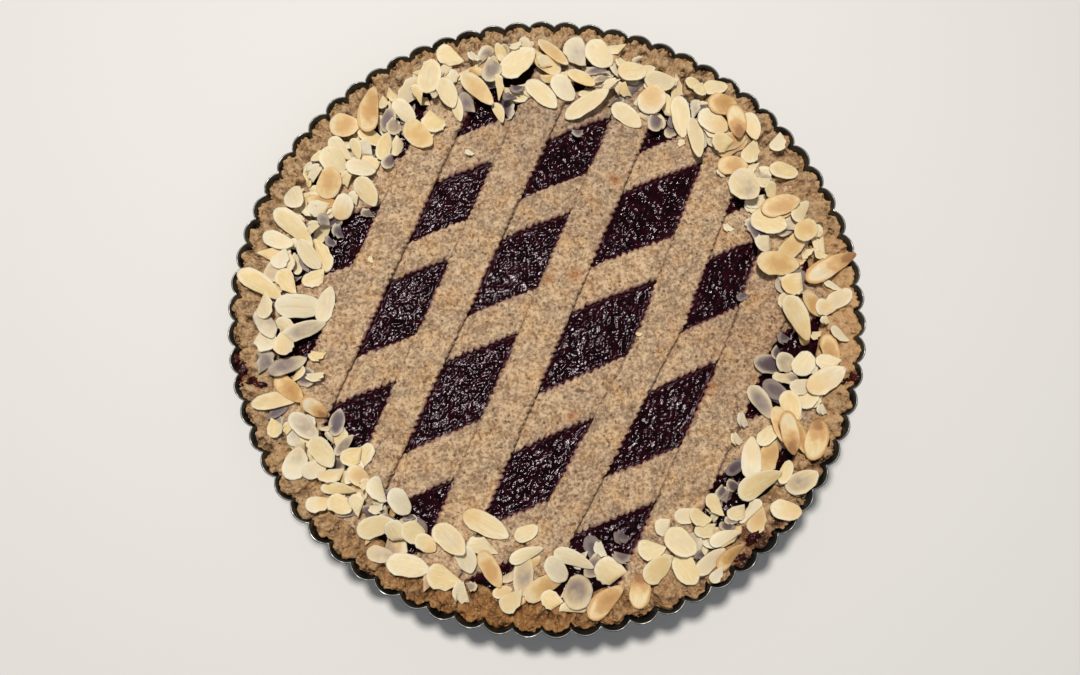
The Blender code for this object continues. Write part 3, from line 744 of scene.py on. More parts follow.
def crumbTree():
    # pushes the surface out along itself wherever the loose attribute is above 0
    tree, given = newTree("crumbRelief", [
        ("Lump size", "Float"), ("Lump depth", "Float"), ("Grain size", "Float"), ("Grain depth", "Float"),
        ("Pit size", "Float"), ("Pit depth", "Float"), ("Nodule size", "Float"), ("Nodule depth", "Float"),
        ("Seed", "Float"), ("Finish", "Material")])
    position = tree.nodes.new("GeometryNodeInputPosition").outputs[0]
    normal = tree.nodes.new("GeometryNodeInputNormal").outputs[0]
    loose = put(tree, "GeometryNodeInputNamedAttribute", {"data_type": "FLOAT"}, Name="loose").outputs[0]

    def noise(kind, detail, seed):
        return put(tree, "ShaderNodeTexNoise", {"noise_dimensions": "4D"}, Vector=position, W=seed,
                   Scale=calc(tree, "DIVIDE", 1.0, given[kind + " size"]), Detail=detail).outputs[0]

    def times(one, other):
        return calc(tree, "MULTIPLY", one, other)

    lump = calc(tree, "SUBTRACT", noise("Lump", 1.0, given["Seed"]), 0.5)
    grain = calc(tree, "SUBTRACT", noise("Grain", 1.5, given["Seed"]), 0.5)
    pit = calc(tree, "SUBTRACT", 0.40, noise("Pit", 1.0, calc(tree, "ADD", given["Seed"], 7.3)), clamp=True)
    # nodules are small domes whose places are jostled by a noise
    size = given["Nodule size"]
    jostle = put(tree, "ShaderNodeTexNoise", {"noise_dimensions": "3D"}, Vector=position,
                 Scale=calc(tree, "DIVIDE", 1.3, size), Detail=1.0)
    jostled = vectorCalc(tree, "ADD", position, scaled(tree, jostle.outputs["Color"], times(size, 0.8)))
    nodule = put(tree, "ShaderNodeTexVoronoi", {"feature": "SMOOTH_F1"}, Vector=jostled,
                 Scale=calc(tree, "DIVIDE", 1.0, size), Smoothness=0.12).outputs["Distance"]
    dome = calc(tree, "SUBTRACT", 0.22, times(nodule, nodule))
    total = calc(tree, "ADD", times(lump, given["Lump depth"]), times(grain, given["Grain depth"]))
    total = calc(tree, "SUBTRACT", total, times(pit, given["Pit depth"]))
    total = calc(tree, "ADD", total, times(dome, given["Nodule depth"]))
    kept = put(tree, "GeometryNodeStoreNamedAttribute", {"data_type": "FLOAT", "domain": "POINT"},
               Geometry=given["Geometry"], Name="relief", Value=times(total, 1.0 / mm))
    moved = put(tree, "GeometryNodeSetPosition", Geometry=kept.outputs[0],
                Offset=scaled(tree, normal, times(total, loose)))
    endTree(tree, moved.outputs[0], given["Finish"])
    return tree


crumbRelief = crumbTree()


def crumble(piece, relief, seed, finish):
    # relief gives the size and the depth in mm of each kind of bump
    values = {"Seed": seed, "Finish": finish}
    for kind, (size, depth) in relief.items():
        values[kind + " size"], values[kind + " depth"] = size * mm, depth * mm
    return runTree(piece, crumbRelief, values)


# the pastry case

crustSet = dict(
    steps=72 * 20, seed=7, clearance=0.15, gap=0.05, crestGap=0.15, sheet=0.65,
    foot=129.0, footLevel=1.1, heelLevel=3.0, wallTop=23.0, crestRadius=132.6, crestHeight=28.2,
    insideRadius=127.6, jamLevel=21.5, floorRadius=126.4, floorLevel=14.0, looseFrom=21.5, looseOver=3.0,
    lump=0.8, crease=1.5, creaseWidth=1.5, creaseFoot=3.4, spread=2.8,
    shrinkSide=-88.0, shrinkSpread=52.0, shrinkDepth=1.3,
    crackSize=1.5, crackStretch=0.3, crackDepth=2.6, crackFrom=23.0, crackOver=2.5,
    # where the rim has spread furthest over the jam: heading in degrees, mm, and degrees wide
    broad=[(33, 6.5, 17), (8, 4.0, 9), (62, 2.5, 12), (96, 2.5, 10), (-15, 3.0, 10), (-50, 2.5, 10),
           (190, 3.5, 12), (222, 3.5, 14), (252, 2.5, 10), (165, 3.0, 12), (135, 2.5, 12)],
    relief={"Lump": (6.0, 1.6), "Grain": (1.3, 2.2), "Pit": (3.0, 5.0), "Nodule": (4.2, 3.4)},
    reliefSeed=3.1,
)


def softened(values, reach=20):
    # a value for each flute, eased into its neighbours' at the creases
    kernel = np.hanning(9)
    wrapped = np.concatenate([values[-reach:], values, values[:reach]])
    return np.convolve(wrapped, kernel / kernel.sum(), mode="same")[reach:-reach]


def through(share, before, here, there, after):
    # a point of the smooth curve through four points, between the middle two
    return here + 0.5 * share * ((there - before) + share * (
        (2 * before - 5 * here + 4 * there - after) + share * (3 * (here - there) + after - before)))


def hump(angles, heading, wide):
    # 1 at a heading in degrees, falling off to both sides
    away = np.remainder(angles - math.radians(heading) + math.pi, fullTurn) - math.pi
    return np.exp(-(away / math.radians(wide)) ** 2)


def crustRings(angles):
    # rings round the case, from under the foot up, over the rim and down inside:
    # how many rows lead up to each, then its radius and its height
    s = crustSet
    x, y = np.cos(angles), np.sin(angles)
    dip = fluteDip(angles)
    place = (angles - tinSet["firstFlute"]) * tinSet["flutes"] / fullTurn
    flute = np.round(place).astype(int) % tinSet["flutes"]
    between = np.floor(place).astype(int) % tinSet["flutes"]
    lump = softened(2 * cellValue(flute, flute * 0, s["seed"]) - 1)
    reach = softened(2 * cellValue(flute, flute * 0 + 5, s["seed"]) - 1)
    # how far the crease between two lumps is from here, along the rim in mm
    away = fullTurn * s["crestRadius"] / tinSet["flutes"] * (0.5 - abs(place - np.round(place)))
    sharp = 0.5 + 1.0 * cellValue(between, between * 0 + 9, s["seed"])
    crease = sharp * np.exp(-(away / s["creaseWidth"]) ** 2) + 0.35 * np.exp(-(away / s["creaseFoot"]) ** 2)
    shrink = s["shrinkDepth"] * hump(angles, s["shrinkSide"], s["shrinkSpread"])
    shrink = shrink + 0.7 * waves(x * 60, y * 60, 7.0, 31)
    spread = s["spread"] * (1 + waves(x * 70, y * 70, 13.0, 37)) + 0.7 * waves(x * 140, y * 140, 5.0, 39)
    for heading, further, wide in s["broad"]:
        spread = spread + further * hump(angles, heading, wide)

    def wall(z, back):
        # the dough has drawn back more from the crests than from the creases
        inside = tinCrest(z) - s["sheet"] - s["clearance"]
        inside = inside - s["crestGap"] * (1 - dip) - (tinSet["fluteDepth"] / mm + 0.1) * dip
        return inside - back * (1 + 0.35 * reach)

    def level(value):
        return np.full_like(angles, value)

    high = s["crestHeight"] + s["lump"] * lump
    return [
        (0, level(s["foot"]), level(s["footLevel"])),
        (1, wall(s["heelLevel"], 0.0), level(s["heelLevel"])),
        (3, wall(s["wallTop"], 0.0), level(s["wallTop"])),
        (4, wall(25.4, 0.0) - 0.8 * shrink, 25.2 + 0.3 * lump - 0.4 * crease),
        (4, wall(27.2, 0.05) - 0.8 * shrink, 27.1 + 0.6 * lump - 1.0 * crease),
        (6, wall(28.3, 0.4) - shrink, high - 0.05 - 0.9 * s["crease"] * crease),
        (11, s["crestRadius"] + 0.7 * reach + 1.2, high + 0.3 - s["crease"] * crease),
        (9, 130.6 + 0.6 * reach - 0.25 * spread, high - 0.7 - 0.7 * s["crease"] * crease),
        (9, 129.0 - 0.7 * spread, 26.6 + 0.4 * lump - 0.5 * crease - 0.04 * spread),
        (6, 128.0 - spread, 24.6 - 0.05 * spread),
        (4, s["insideRadius"] - spread, level(s["jamLevel"] - 0.8)),
        (2, level(s["floorRadius"]), level(s["floorLevel"])),
    ]


def crustGrid():
    # every row of points round the case, its cracks included
    s = crustSet
    angles = tinSet["firstFlute"] + fullTurn * np.arange(s["steps"]) / s["steps"]
    rings = crustRings(angles)
    last = len(rings) - 1
    rows = []
    for number in range(1, last + 1):
        around = [rings[min(max(number + offset, 0), last)] for offset in (-2, -1, 0, 1)]
        rowCount = rings[number][0]
        for row in range(rowCount):
            rows.append([through(row / rowCount, *[ring[part] for ring in around]) for part in (1, 2)])
    rows.append(rings[-1][1:])
    radius, height = [np.array([row[part] for row in rows]) for part in (0, 1)]
    # cracks and crumbs that run outwards across the rim
    arc = angles[None, :] * s["crestRadius"] + 0.8 * waves(radius, radius * 0, 5.0, 12)
    crack = waves(arc, radius * s["crackStretch"], s["crackSize"], 13)
    crack = np.maximum(0.0, abs(crack) - 0.15) + 0.8 * np.maximum(0.0, waves(arc, radius, 3.7, 15) - 0.1)
    crack = crack * smooth((height - s["crackFrom"]) / s["crackOver"])
    return angles, radius, height - s["crackDepth"] * crack, crack


def holdInside(mesh):
    # nothing of the crumbly outside may come through the tin's wall
    place = pointsOf(mesh) / mm
    radius = np.hypot(place[:, 0], place[:, 1])
    dip = fluteDip(np.arctan2(place[:, 1], place[:, 0]))
    wall = tinCrest(place[:, 2]) - tinSet["fluteDepth"] / mm * dip - crustSet["sheet"] - crustSet["gap"]
    share = np.minimum(1.0, wall / np.maximum(radius, 1.0))
    share[place[:, 2] <= tinSet["heelHeight"] / mm] = 1.0
    place[:, :2] *= share[:, None]
    mesh.vertices.foreach_set("co", (place * mm).astype(np.float32).ravel())
    mesh.update()


def makeCrust():
    s = crustSet
    angles, radius, height, crack = crustGrid()
    points = pointRows(radius * np.cos(angles), radius * np.sin(angles), height)
    points = np.vstack([points, (0, 0, s["footLevel"]), (0, 0, s["floorLevel"])]) * mm
    mesh = newMesh("crustCase", points, ringFaces(*radius.shape))
    loose = smooth((height - s["looseFrom"]) / s["looseOver"])
    giveAttribute(mesh, "loose", np.append(loose.ravel(), (0.0, 0.0)))
    giveAttribute(mesh, "crack", np.append(crack.ravel(), (0.0, 0.0)))
    crust = crumble(newObject("crustCase", mesh), s["relief"], s["reliefSeed"], crustFinish())
    holdInside(crust.data)
    return crust


crustCase = makeCrust()
print("case:", len(crustCase.data.polygons), "faces")


# the lattice

class Strip:
    # a strip's middle line and width in mm, which change a little along its length
    def __init__(self, middle, width, lean=0.0, taper=0.0, bend=0.0, bendFrom=0.0):
        self.middle, self.width, self.lean, self.taper = middle, width, lean, taper
        self.bend, self.bendFrom = bend, bendFrom

    def edge(self, along, share):
        # the share is -1 and 1 at its two sides and 0 in the middle
        middle = self.middle + self.lean * along + self.bend * np.minimum(0.0, along - self.bendFrom)
        return middle + share * (self.width + self.taper * along) / 2


latticeSet = dict(
    upperHeading=68.2, lowerHeading=22.5, endRadius=126.7, step=0.42, pitchAcross=0.55, round=1.4,
    bottom=21.8, lowerTop=24.7, lowerPressed=23.55, upperTop=25.0, upperOver=26.2, underOver=23.4,
    margin=1.2, ramp=4.5, domed=0.25, lowered=0.15, thinnest=0.3,
    toothPitch=2.25, tooth=1.3, toothLeast=0.25, toothMore=1.1, toothLow=0.6, pressedTooth=0.35,
    toothedWidth=2.6, soakTop=24.3, soakOver=1.6, seamWidth=0.8, fringeWidth=1.9,
    # noises, each with its depth and size
    swell=((0.22, 13.0), (0.16, 5.0)), calm=0.6, wander=((0.55, 11.0), (0.3, 3.4)), crumb=(0.4, 1.5),
    relief={"Lump": (3.0, 0.8), "Grain": (1.1, 0.9), "Pit": (2.0, 2.2), "Nodule": (1.9, 0.8)},
    reliefSeed=11.0,
)
upperStrips = [
    Strip(-79.4, 18.7),
    Strip(-40.9, 16.7, lean=0.018, taper=0.035),
    Strip(1.6, 18.3, lean=0.024),
    Strip(50.5, 18.4, bend=0.2, bendFrom=-30.0),
    Strip(90.0, 21.0, bend=0.12, bendFrom=-48.0),
]
lowerStrips = [
    Strip(84.0, 18.0),
    Strip(45.2, 15.2, taper=0.018),
    Strip(1.7, 16.2, lean=-0.013),
    Strip(-45.0, 19.3, lean=0.034),
    Strip(-86.6, 17.0, lean=-0.02),
]
upperTurn, lowerTurn = math.radians(latticeSet["upperHeading"]), math.radians(latticeSet["lowerHeading"])
upperNormal = np.array([math.sin(upperTurn), -math.cos(upperTurn)])
lowerNormal = np.array([-math.sin(lowerTurn), math.cos(lowerTurn)])
normalsCross = upperNormal[0] * lowerNormal[1] - upperNormal[1] * lowerNormal[0]


def placeBetween(across, along):
    # the point at these offsets along the upper and the lower strips' normals
    x = (lowerNormal[1] * across - upperNormal[1] * along) / normalsCross
    y = (upperNormal[0] * along - lowerNormal[0] * across) / normalsCross
    return x, y


def offsetsOf(x, y):
    return upperNormal[0] * x + upperNormal[1] * y, lowerNormal[0] * x + lowerNormal[1] * y


def besideStrip(strip, place, run):
    # how far a point is from the strip's nearer side, below 0 on the strip
    return np.maximum(strip.edge(place, -1) - run, run - strip.edge(place, 1))


def liftOver(others, place, run):
    # 1 over the strips that cross, falling to 0 over a short ramp beside them
    s = latticeSet
    lift = np.zeros_like(place)
    for other in others:
        lift = np.maximum(lift, smooth(1.0 - (besideStrip(other, place, run) - s["margin"]) / s["ramp"]))
    return lift


def seamShare(others, along, across):
    # 1 on a lower strip where the sides of the upper ones meet it, where painted shade goes
    near = np.zeros_like(along)
    for other in others:
        for share in (-1, 1):
            near = np.maximum(near, np.exp(-abs(across - other.edge(along, share)) / latticeSet["seamWidth"]))
    return near


def stripSpans(strip, toPlace):
    # the first and last place inside the case, for one side, the middle and the other side
    run = np.arange(-150.0, 150.0, 0.1)
    spans = []
    for share in (-1, 0, 1):
        x, y = toPlace(strip.edge(run, share), run)
        inside = run[np.hypot(x, y) < latticeSet["endRadius"]]
        spans.append((inside[0], inside[-1]))
    return spans


def stripSection(half):
    # from one bottom corner over the top to the other: the share of the half width,
    # how far the point lies below the top, and whether it is a bottom corner
    s = latticeSet
    arc = np.linspace(0, math.pi / 2, 6)
    shares = [-1.0] + [-1.0 + s["round"] / half * (1 - math.cos(turn)) for turn in arc]
    drops = [0.0] + [s["round"] * (1 - math.sin(turn)) for turn in arc]
    flat = int(2 * (half - s["round"]) / s["pitchAcross"])
    middle = np.linspace(-1 + s["round"] / half, 1 - s["round"] / half, flat)[1:-1]
    shares = np.array(shares + list(middle) + [-share for share in shares[::-1]])
    drops = np.array(drops + [0.0] * len(middle) + drops[::-1])
    return shares, drops, np.arange(len(shares)) % (len(shares) - 1) == 0


def edgePush(run, share, half, pressed, seed):
    # how far the cut sides stand out, with the cutting wheel's teeth, a little uneven
    s = latticeSet
    nearEdge = smooth((abs(share) * half - (half - s["toothedWidth"])) / s["toothedWidth"])
    side, sign = np.where(share > 0, 1, 0), np.sign(share)
    phase = run / s["toothPitch"] + 0.35 * side + 0.5 * waves(run, side * 60.0, 6.5, seed)
    size = s["toothLeast"] + s["toothMore"] * cellValue(np.floor(phase), side, seed)
    tooth = size * (abs(np.sin(math.pi * phase)) ** 0.9 - s["toothLow"]) * (1 - s["pressedTooth"] * pressed)
    wander = noiseLayers(run, sign * 40, seed + 3, *s["wander"])
    crumbs = noiseLayers(run, sign * 80, seed + 5, s["crumb"])
    return sign * nearEdge * (s["tooth"] * tooth + wander * 0.6 + crumbs)


def stripMesh(name, strip, others, upper, seed):
    s = latticeSet
    half = strip.width / 2

    def toPlace(side, run):
        return placeBetween(side, run) if upper else placeBetween(run, side)

    spans = stripSpans(strip, toPlace)
    low, high = min(span[0] for span in spans), max(span[1] for span in spans)
    stations = int((high - low) / s["step"])
    section, drops, atBottom = stripSection(half)
    count = len(section)
    run, share = np.meshgrid(np.linspace(low, high, stations), section, indexing="ij")
    # the ends follow the round wall of the case
    first, last = [np.interp(share, [-1, 0, 1], [span[end] for span in spans]) for end in (0, 1)]
    run = np.clip(run, first, last)
    x, y = toPlace(strip.edge(run, share), run)
    pressed = liftOver(others, *offsetsOf(x, y)) if upper else 0.0
    push = edgePush(run, share, half, pressed, seed) * (1 - 0.3 * atBottom)
    outward = upperNormal if upper else lowerNormal
    x, y = x + push * outward[0], y + push * outward[1]
    keep = np.minimum(1.0, s["endRadius"] / np.maximum(np.hypot(x, y), 1.0))
    x, y = x * keep, y * keep
    # an upper strip rises over the lower ones, which are pressed there
    across, along = offsetsOf(x, y)
    if upper:
        lift = liftOver(others, across, along)
        bottom = s["bottom"] + lift * (s["underOver"] - s["bottom"])
        top = s["upperTop"] + lift * (s["upperOver"] - s["upperTop"])
    else:
        lift = liftOver(others, along, across)
        bottom = np.full_like(x, s["bottom"])
        top = s["lowerTop"] + lift * (s["lowerPressed"] - s["lowerTop"])
    dome = s["domed"] * (1 - share ** 2) - s["lowered"]
    swell = noiseLayers(x, y, seed + 1, *s["swell"])
    z = top + dome + swell * (1 - s["calm"] * lift) - np.minimum(drops, top - bottom - s["thinnest"])
    z = np.where(atBottom, bottom, z)
    mesh = newMesh(name, pointRows(x, y, z) * mm, [gridFaces(stations, count, True)[:, ::-1]])

    def closeEnds(shape):
        shape.verts.ensure_lookup_table()
        for end in (range(count)[::-1], range((stations - 1) * count, stations * count)):
            shape.faces.new([shape.verts[index] for index in end]).smooth = True

    editShape(mesh, closeEnds)
    # jam creeps up the sides, but not where a strip lies on another
    flank = np.where(atBottom, 1.0, np.clip(1.5 * drops / s["round"], 0, 1)) * (1 - lift)
    onTop = np.where(atBottom, 0.0, np.clip(1.0 - drops / s["round"] * 0.4, 0, 1))
    marks = dict(
        side=abs(share) * (1 - 0.3 * upper),
        soak=np.clip((s["soakTop"] - z) / s["soakOver"], 0, 1) * flank,
        # painted shade along an upper strip's lower corners where it rises over a lower strip, and on a lower
        # strip beside the upper strips' sides
        seam=atBottom * lift if upper else seamShare(others, along, across),
        fringe=smooth((abs(share) * half - (half - s["fringeWidth"])) / s["fringeWidth"]) * (1 - lift),
        loose=onTop * np.ones_like(run),
    )
    for label, values in marks.items():
        giveAttribute(mesh, label, values.ravel())
    return mesh


def makeLattice():
    s = latticeSet
    finish = doughFinish()
    made = []
    layers = ((False, lowerStrips, upperStrips, "Lower"), (True, upperStrips, lowerStrips, "Upper"))
    for upper, strips, others, title in layers:
        for number, strip in enumerate(strips, start=1):
            name = f"lattice{title}{number}"
            mesh = stripMesh(name, strip, others, upper, 50 + number * 10 + 5 * upper)
            piece = crumble(newObject(name, mesh), s["relief"], s["reliefSeed"] + number + 7 * upper, finish)
            made.append((piece, f"lattice_{title.lower()}_{number}"))
    return made


lattice = makeLattice()
print("lattice:", sum(len(piece.data.polygons) for piece, _ in lattice), "faces")


# the jam

jamSet = dict(
    level=21.45, radius=127.25, edgeLevel=21.2, floor=14.3, floorShare=0.989, seed=77,
    fine=0.5, coarse=5.0, underStrip=1.2, outerFine=1.0, outerFrom=112.0,
    bumps=((0.64, 1.6), (0.45, 7.0), (0.12, 1.0)), bumpShare=0.9, sunk=0.35, rise=0.3, underDrop=0.35,
    hug=0.7, hugWidth=0.9, thinWidth=0.7,
)


def jamLines(strips):
    # fine lines where the windows are, coarse ones where a strip always covers the jam
    s = jamSet
    reach = s["radius"] + 1.0
    run = np.linspace(-reach, reach, 200)
    covered = []
    for strip in strips:
        low, high = strip.edge(run, -1).max(), strip.edge(run, 1).min()
        covered.append((low + s["underStrip"], high - s["underStrip"]))
    lines = [-reach * 1.02]
    while lines[-1] < reach * 1.02:
        here = lines[-1]
        step = s["outerFine"] if abs(here) > s["outerFrom"] else s["fine"]
        for low, high in covered:
            if low <= here < high - 0.5:
                step = min(s["coarse"], high - here)
        lines.append(here + step)
    return np.array(lines)


def windowGap(x, y):
    # how far a point is from the nearest strip's side, below 0 under a strip
    across, along = offsetsOf(x, y)
    gaps = [besideStrip(strip, along, across) for strip in upperStrips]
    gaps += [besideStrip(strip, across, along) for strip in lowerStrips]
    return np.minimum.reduce(gaps)


def closeBelow(shape):
    # a skirt down to the floor, drawn in a little, and a flat bottom
    s = jamSet
    bmesh.ops.dissolve_degenerate(shape, dist=0.002 * mm, edges=shape.edges)
    rim = [edge for edge in shape.edges if edge.is_boundary]
    skirt = bmesh.ops.extrude_edge_only(shape, edges=rim)["geom"]
    for item in skirt:
        if isinstance(item, bmesh.types.BMVert):
            item.co.z = s["floor"] * mm
            item.co.xy *= s["floorShare"]
    bottom = [item for item in skirt if isinstance(item, bmesh.types.BMEdge)]
    bmesh.ops.contextual_create(shape, geom=bottom)
    for face in shape.faces:
        face.smooth = True


def makeJam():
    s = jamSet
    across, along = jamLines(upperStrips), jamLines(lowerStrips)
    alongGrid, acrossGrid = np.meshgrid(along, across, indexing="ij")
    x, y = placeBetween(acrossGrid, alongGrid)
    radius = np.hypot(x, y)
    inside = radius < s["radius"]
    faces = gridFaces(len(along), len(across))
    faces = faces[inside.ravel()[faces].any(axis=1)]
    pull = np.where(inside, 1.0, s["radius"] / np.maximum(radius, 1.0))
    x, y = x * pull, y * pull
    gap = windowGap(x, y)
    # low under the strips, bumpy in the windows, and drawn up a little along the strips' sides
    bumps = noiseLayers(x, y, s["seed"], *s["bumps"])
    hug = s["hug"] * np.exp(-np.maximum(gap, 0.0) / s["hugWidth"])
    window = smooth((gap + 0.6) / 0.8)
    rise = (s["rise"] + bumps * s["bumpShare"] + hug) * window
    z = s["level"] - s["sunk"] + rise - s["underDrop"] * (1 - window)
    z = np.where(np.hypot(x, y) > s["radius"] - 0.3, np.minimum(z, s["edgeLevel"]), z)
    used, faces = np.unique(faces, return_inverse=True)
    mesh = newMesh("jamFilling", pointRows(x, y, z)[used] * mm, [faces.reshape(-1, 4)])
    editShape(mesh, closeBelow)
    place = pointsOf(mesh) / mm
    gap = windowGap(place[:, 0], place[:, 1])
    giveAttribute(mesh, "thin", np.exp(-np.maximum(gap, 0.0) / s["thinWidth"]))
    return newObject("jamFilling", mesh, jamFinish())


jamFilling = makeJam()
print("jam:", len(jamFilling.data.polygons), "faces")


# heights of the food so far, in cells over the tart, for laying almonds on it

cell = 0.5   # mm
cells = 600   # each way
lowestFood = 12.0   # mm


def cellOf(x, y):
    # the column and row of the cell that holds a place in mm
    return tuple(np.clip(((one + cells * cell / 2) / cell).astype(int), 0, cells - 1) for one in (x, y))


def cellsBeside(heights):
    return [np.roll(heights, shift, axis=(0, 1)) for shift in ((0, 1), (0, -1), (1, 0), (-1, 0))]


def foodHeights(pieces):
    # the highest point in each cell; a cell without one takes its neighbours' highest
    heights = np.full((cells, cells), -1.0)
    for piece in pieces:
        place = pointsOf(piece.data) / mm
        place = place[place[:, 2] > lowestFood]
        np.maximum.at(heights, cellOf(place[:, 0], place[:, 1]), place[:, 2])
    for _ in range(6):
        heights = np.where(heights < 0, np.maximum.reduce([heights, *cellsBeside(heights)]), heights)
    return heights


def evened(heights, passes):
    for _ in range(passes):
        heights = (heights + sum(cellsBeside(heights))) / 5
    return heights


foodTop = foodHeights([crustCase, jamFilling, tinShell] + [piece for piece, _ in lattice])
print("heights measured, up to", round(float(foodTop.max()), 2), "mm")


# the almonds

flakeSet = dict(
    stations=10, thick=0.6, narrowest=0.06, gap=0.04, tallest=32.9, coarse=15, fine=44,
    slopes=9, slopeLimit=0.45, slopeCost=40.0, rounds=4, closer=3.5,
)

# each kind: how pointed, how bowed, its curl, cup and twist in mm, and how blunt or jagged;
# a broken one ends before its tip, with a slanted edge, and a chipped one has lost a corner
plainFlake = dict(twist=0.0, end=0.5, slant=0.0, blunt=2.0, chip=None)
flakeKinds = [{**plainFlake, **kind} for kind in (
    dict(point=0.26, bow=0.03, curl=0.5, cup=0.4, twist=0.7, jag=0.035),
    dict(point=0.12, bow=-0.04, curl=-0.3, cup=0.6, twist=-0.6, jag=0.06),
    dict(point=0.36, bow=0.07, curl=1.0, cup=0.3, twist=0.9, jag=0.035),
    dict(point=0.18, bow=0.0, curl=0.3, cup=-0.4, twist=0.5, end=0.22, slant=0.22, jag=0.09),
    dict(point=0.20, bow=-0.07, curl=1.2, cup=0.8, twist=-0.8, jag=0.06),
    dict(point=0.10, bow=0.03, curl=0.2, cup=0.2, end=0.02, slant=-0.25, jag=0.12),
    dict(point=0.24, bow=0.0, curl=0.6, cup=0.6, twist=0.6, chip=(0.34, -0.75), jag=0.07),
    dict(point=0.30, bow=-0.05, curl=0.4, cup=-0.3, twist=-0.7, chip=(0.26, 0.55), jag=0.04),
    dict(point=0.06, bow=0.0, curl=0.2, cup=0.2, end=0.30, slant=0.1, chip=(0.2, -0.45), jag=0.10),
    dict(point=0.05, bow=0.06, curl=-0.4, cup=0.3, end=0.16, slant=-0.4, blunt=3.0, jag=0.10),
    dict(point=-0.08, bow=-0.05, curl=0.3, cup=0.2, end=0.25, slant=0.3, blunt=4.0, chip=(0.12, 0.5),
         jag=0.12),
    dict(point=0.30, bow=0.10, curl=0.8, cup=0.4, chip=(0.30, -0.2), jag=0.08),
    dict(point=0.15, bow=-0.08, curl=-0.6, cup=-0.2, blunt=2.6, chip=(0.22, -0.6), jag=0.08),
)]


def flakeEdges(kind):
    # places along the flake with its two edges there, in shares of its length and width
    share = np.linspace(0.0, 1.0, flakeSet["stations"])
    if kind["end"] < 0.5:
        x = -0.5 + (kind["end"] + 0.5) * (1 - np.cos(0.5 * math.pi * share))
    else:
        x = -0.5 * np.cos(math.pi * share)
    half = 0.5 * np.maximum(0.0, 1 - abs(2 * x) ** kind["blunt"]) ** (1 / kind["blunt"])
    half = np.maximum(half * (1 - kind["point"] * 2 * x), flakeSet["narrowest"])
    middle = kind["bow"] * (1 - (2 * x) ** 2)
    jag = kind["jag"] * np.sin(math.pi * share)
    place, seed = np.arange(len(x)), int(100 * kind["point"]) + 40
    low = middle - half + jag * (2 * cellValue(place, place * 0, seed) - 1)
    high = middle + half + jag * (2 * cellValue(place, place * 0 + 3, seed) - 1)
    if kind["chip"]:
        start, slope = kind["chip"]
        high = np.minimum(high, start + slope * x)
    return x, low, np.maximum(high, low + flakeSet["narrowest"])


def flakeSlant(kind, x, y):
    # how far a broken end slants along the flake at this place of it
    return kind["slant"] * y * smooth((x + 0.1) / (kind["end"] + 0.1))


def flakeLift(kind, x, y):
    # how far the flake curls up at a place, in mm
    return kind["curl"] * (2 * x) ** 2 + kind["cup"] * (2 * y) ** 2 + kind["twist"] * 4 * x * y


def flakeLayer(kind, x, y, level, shrink):
    x, y = x * shrink + flakeSlant(kind, x, y), y * shrink
    return pointRows(x, y, level * flakeSet["thick"] + flakeLift(kind, x, y))


def flakeMesh(name, kind):
    # a thin slice with a rim, a bevelled upper edge and a row of points down the middle
    x, low, high = flakeEdges(kind)
    loopX, loopY = np.concatenate([x, x[::-1]]), np.concatenate([low, high[::-1]])
    layers = [flakeLayer(kind, loopX, loopY, *layer) for layer in ((-0.5, 0.97), (0.28, 1.0), (0.5, 0.93))]
    layers += [flakeLayer(kind, x, (low + high) / 2, level, 0.93) for level in (-0.5, 0.5)]
    points = np.vstack(layers)
    half = len(x)
    count = 2 * half
    top, under, over = 2 * count, 3 * count, 3 * count + half
    faces = []
    for step in range(half - 1):
        far = count - 1 - step
        faces.append((top + step, top + step + 1, over + step + 1, over + step))
        faces.append((top + far - 1, top + far, over + step, over + step + 1))
        faces.append((step + 1, step, under + step, under + step + 1))
        faces.append((far, far - 1, under + step + 1, under + step))
    ends = [(top, over, top + count - 1), (top + half, over + half - 1, top + half - 1),
            (0, count - 1, under), (half, half - 1, under + half - 1)]
    mesh = newMesh(name, points, [gridFaces(3, count, True), faces, ends])
    editShape(mesh)
    giveAttribute(mesh, "flakeMap", points * (1.0, 1.0, 0.0))
    return mesh


def newStore(name):
    # holds the kinds of a scatter, which are picked in the order of their names
    store = bpy.data.collections.new(name)
    bpy.context.scene.collection.children.link(store)
    return store


def makeFlakeKinds():
    store = newStore("flakeKinds")
    for number, kind in enumerate(flakeKinds):
        mesh = flakeMesh(f"flakeKind{number:02d}", kind)
        store.objects.link(bpy.data.objects.new(mesh.name, mesh))
    return store


def flakeSamples(kind, fine):
    # places over the flake in shares of its length and width
    side = np.linspace(-0.5, 0.5, fine)
    x, y = [one.ravel() for one in np.meshgrid(side, side)]
    stations, low, high = flakeEdges(kind)
    inside = (y >= np.interp(x, stations, low)) & (y <= np.interp(x, stations, high)) & (x <= stations[-1])
    x, y = x[inside], y[inside]
    return x + flakeSlant(kind, x, y), y


coarseSamples = [flakeSamples(kind, flakeSet["coarse"]) for kind in flakeKinds]
fineSamples = [flakeSamples(kind, flakeSet["fine"]) for kind in flakeKinds]


def spreadOut(samples, turn, length, width):
    c, s = math.cos(turn), math.sin(turn)
    u, v = samples
    return u * length * c - v * width * s, u * length * s + v * width * c


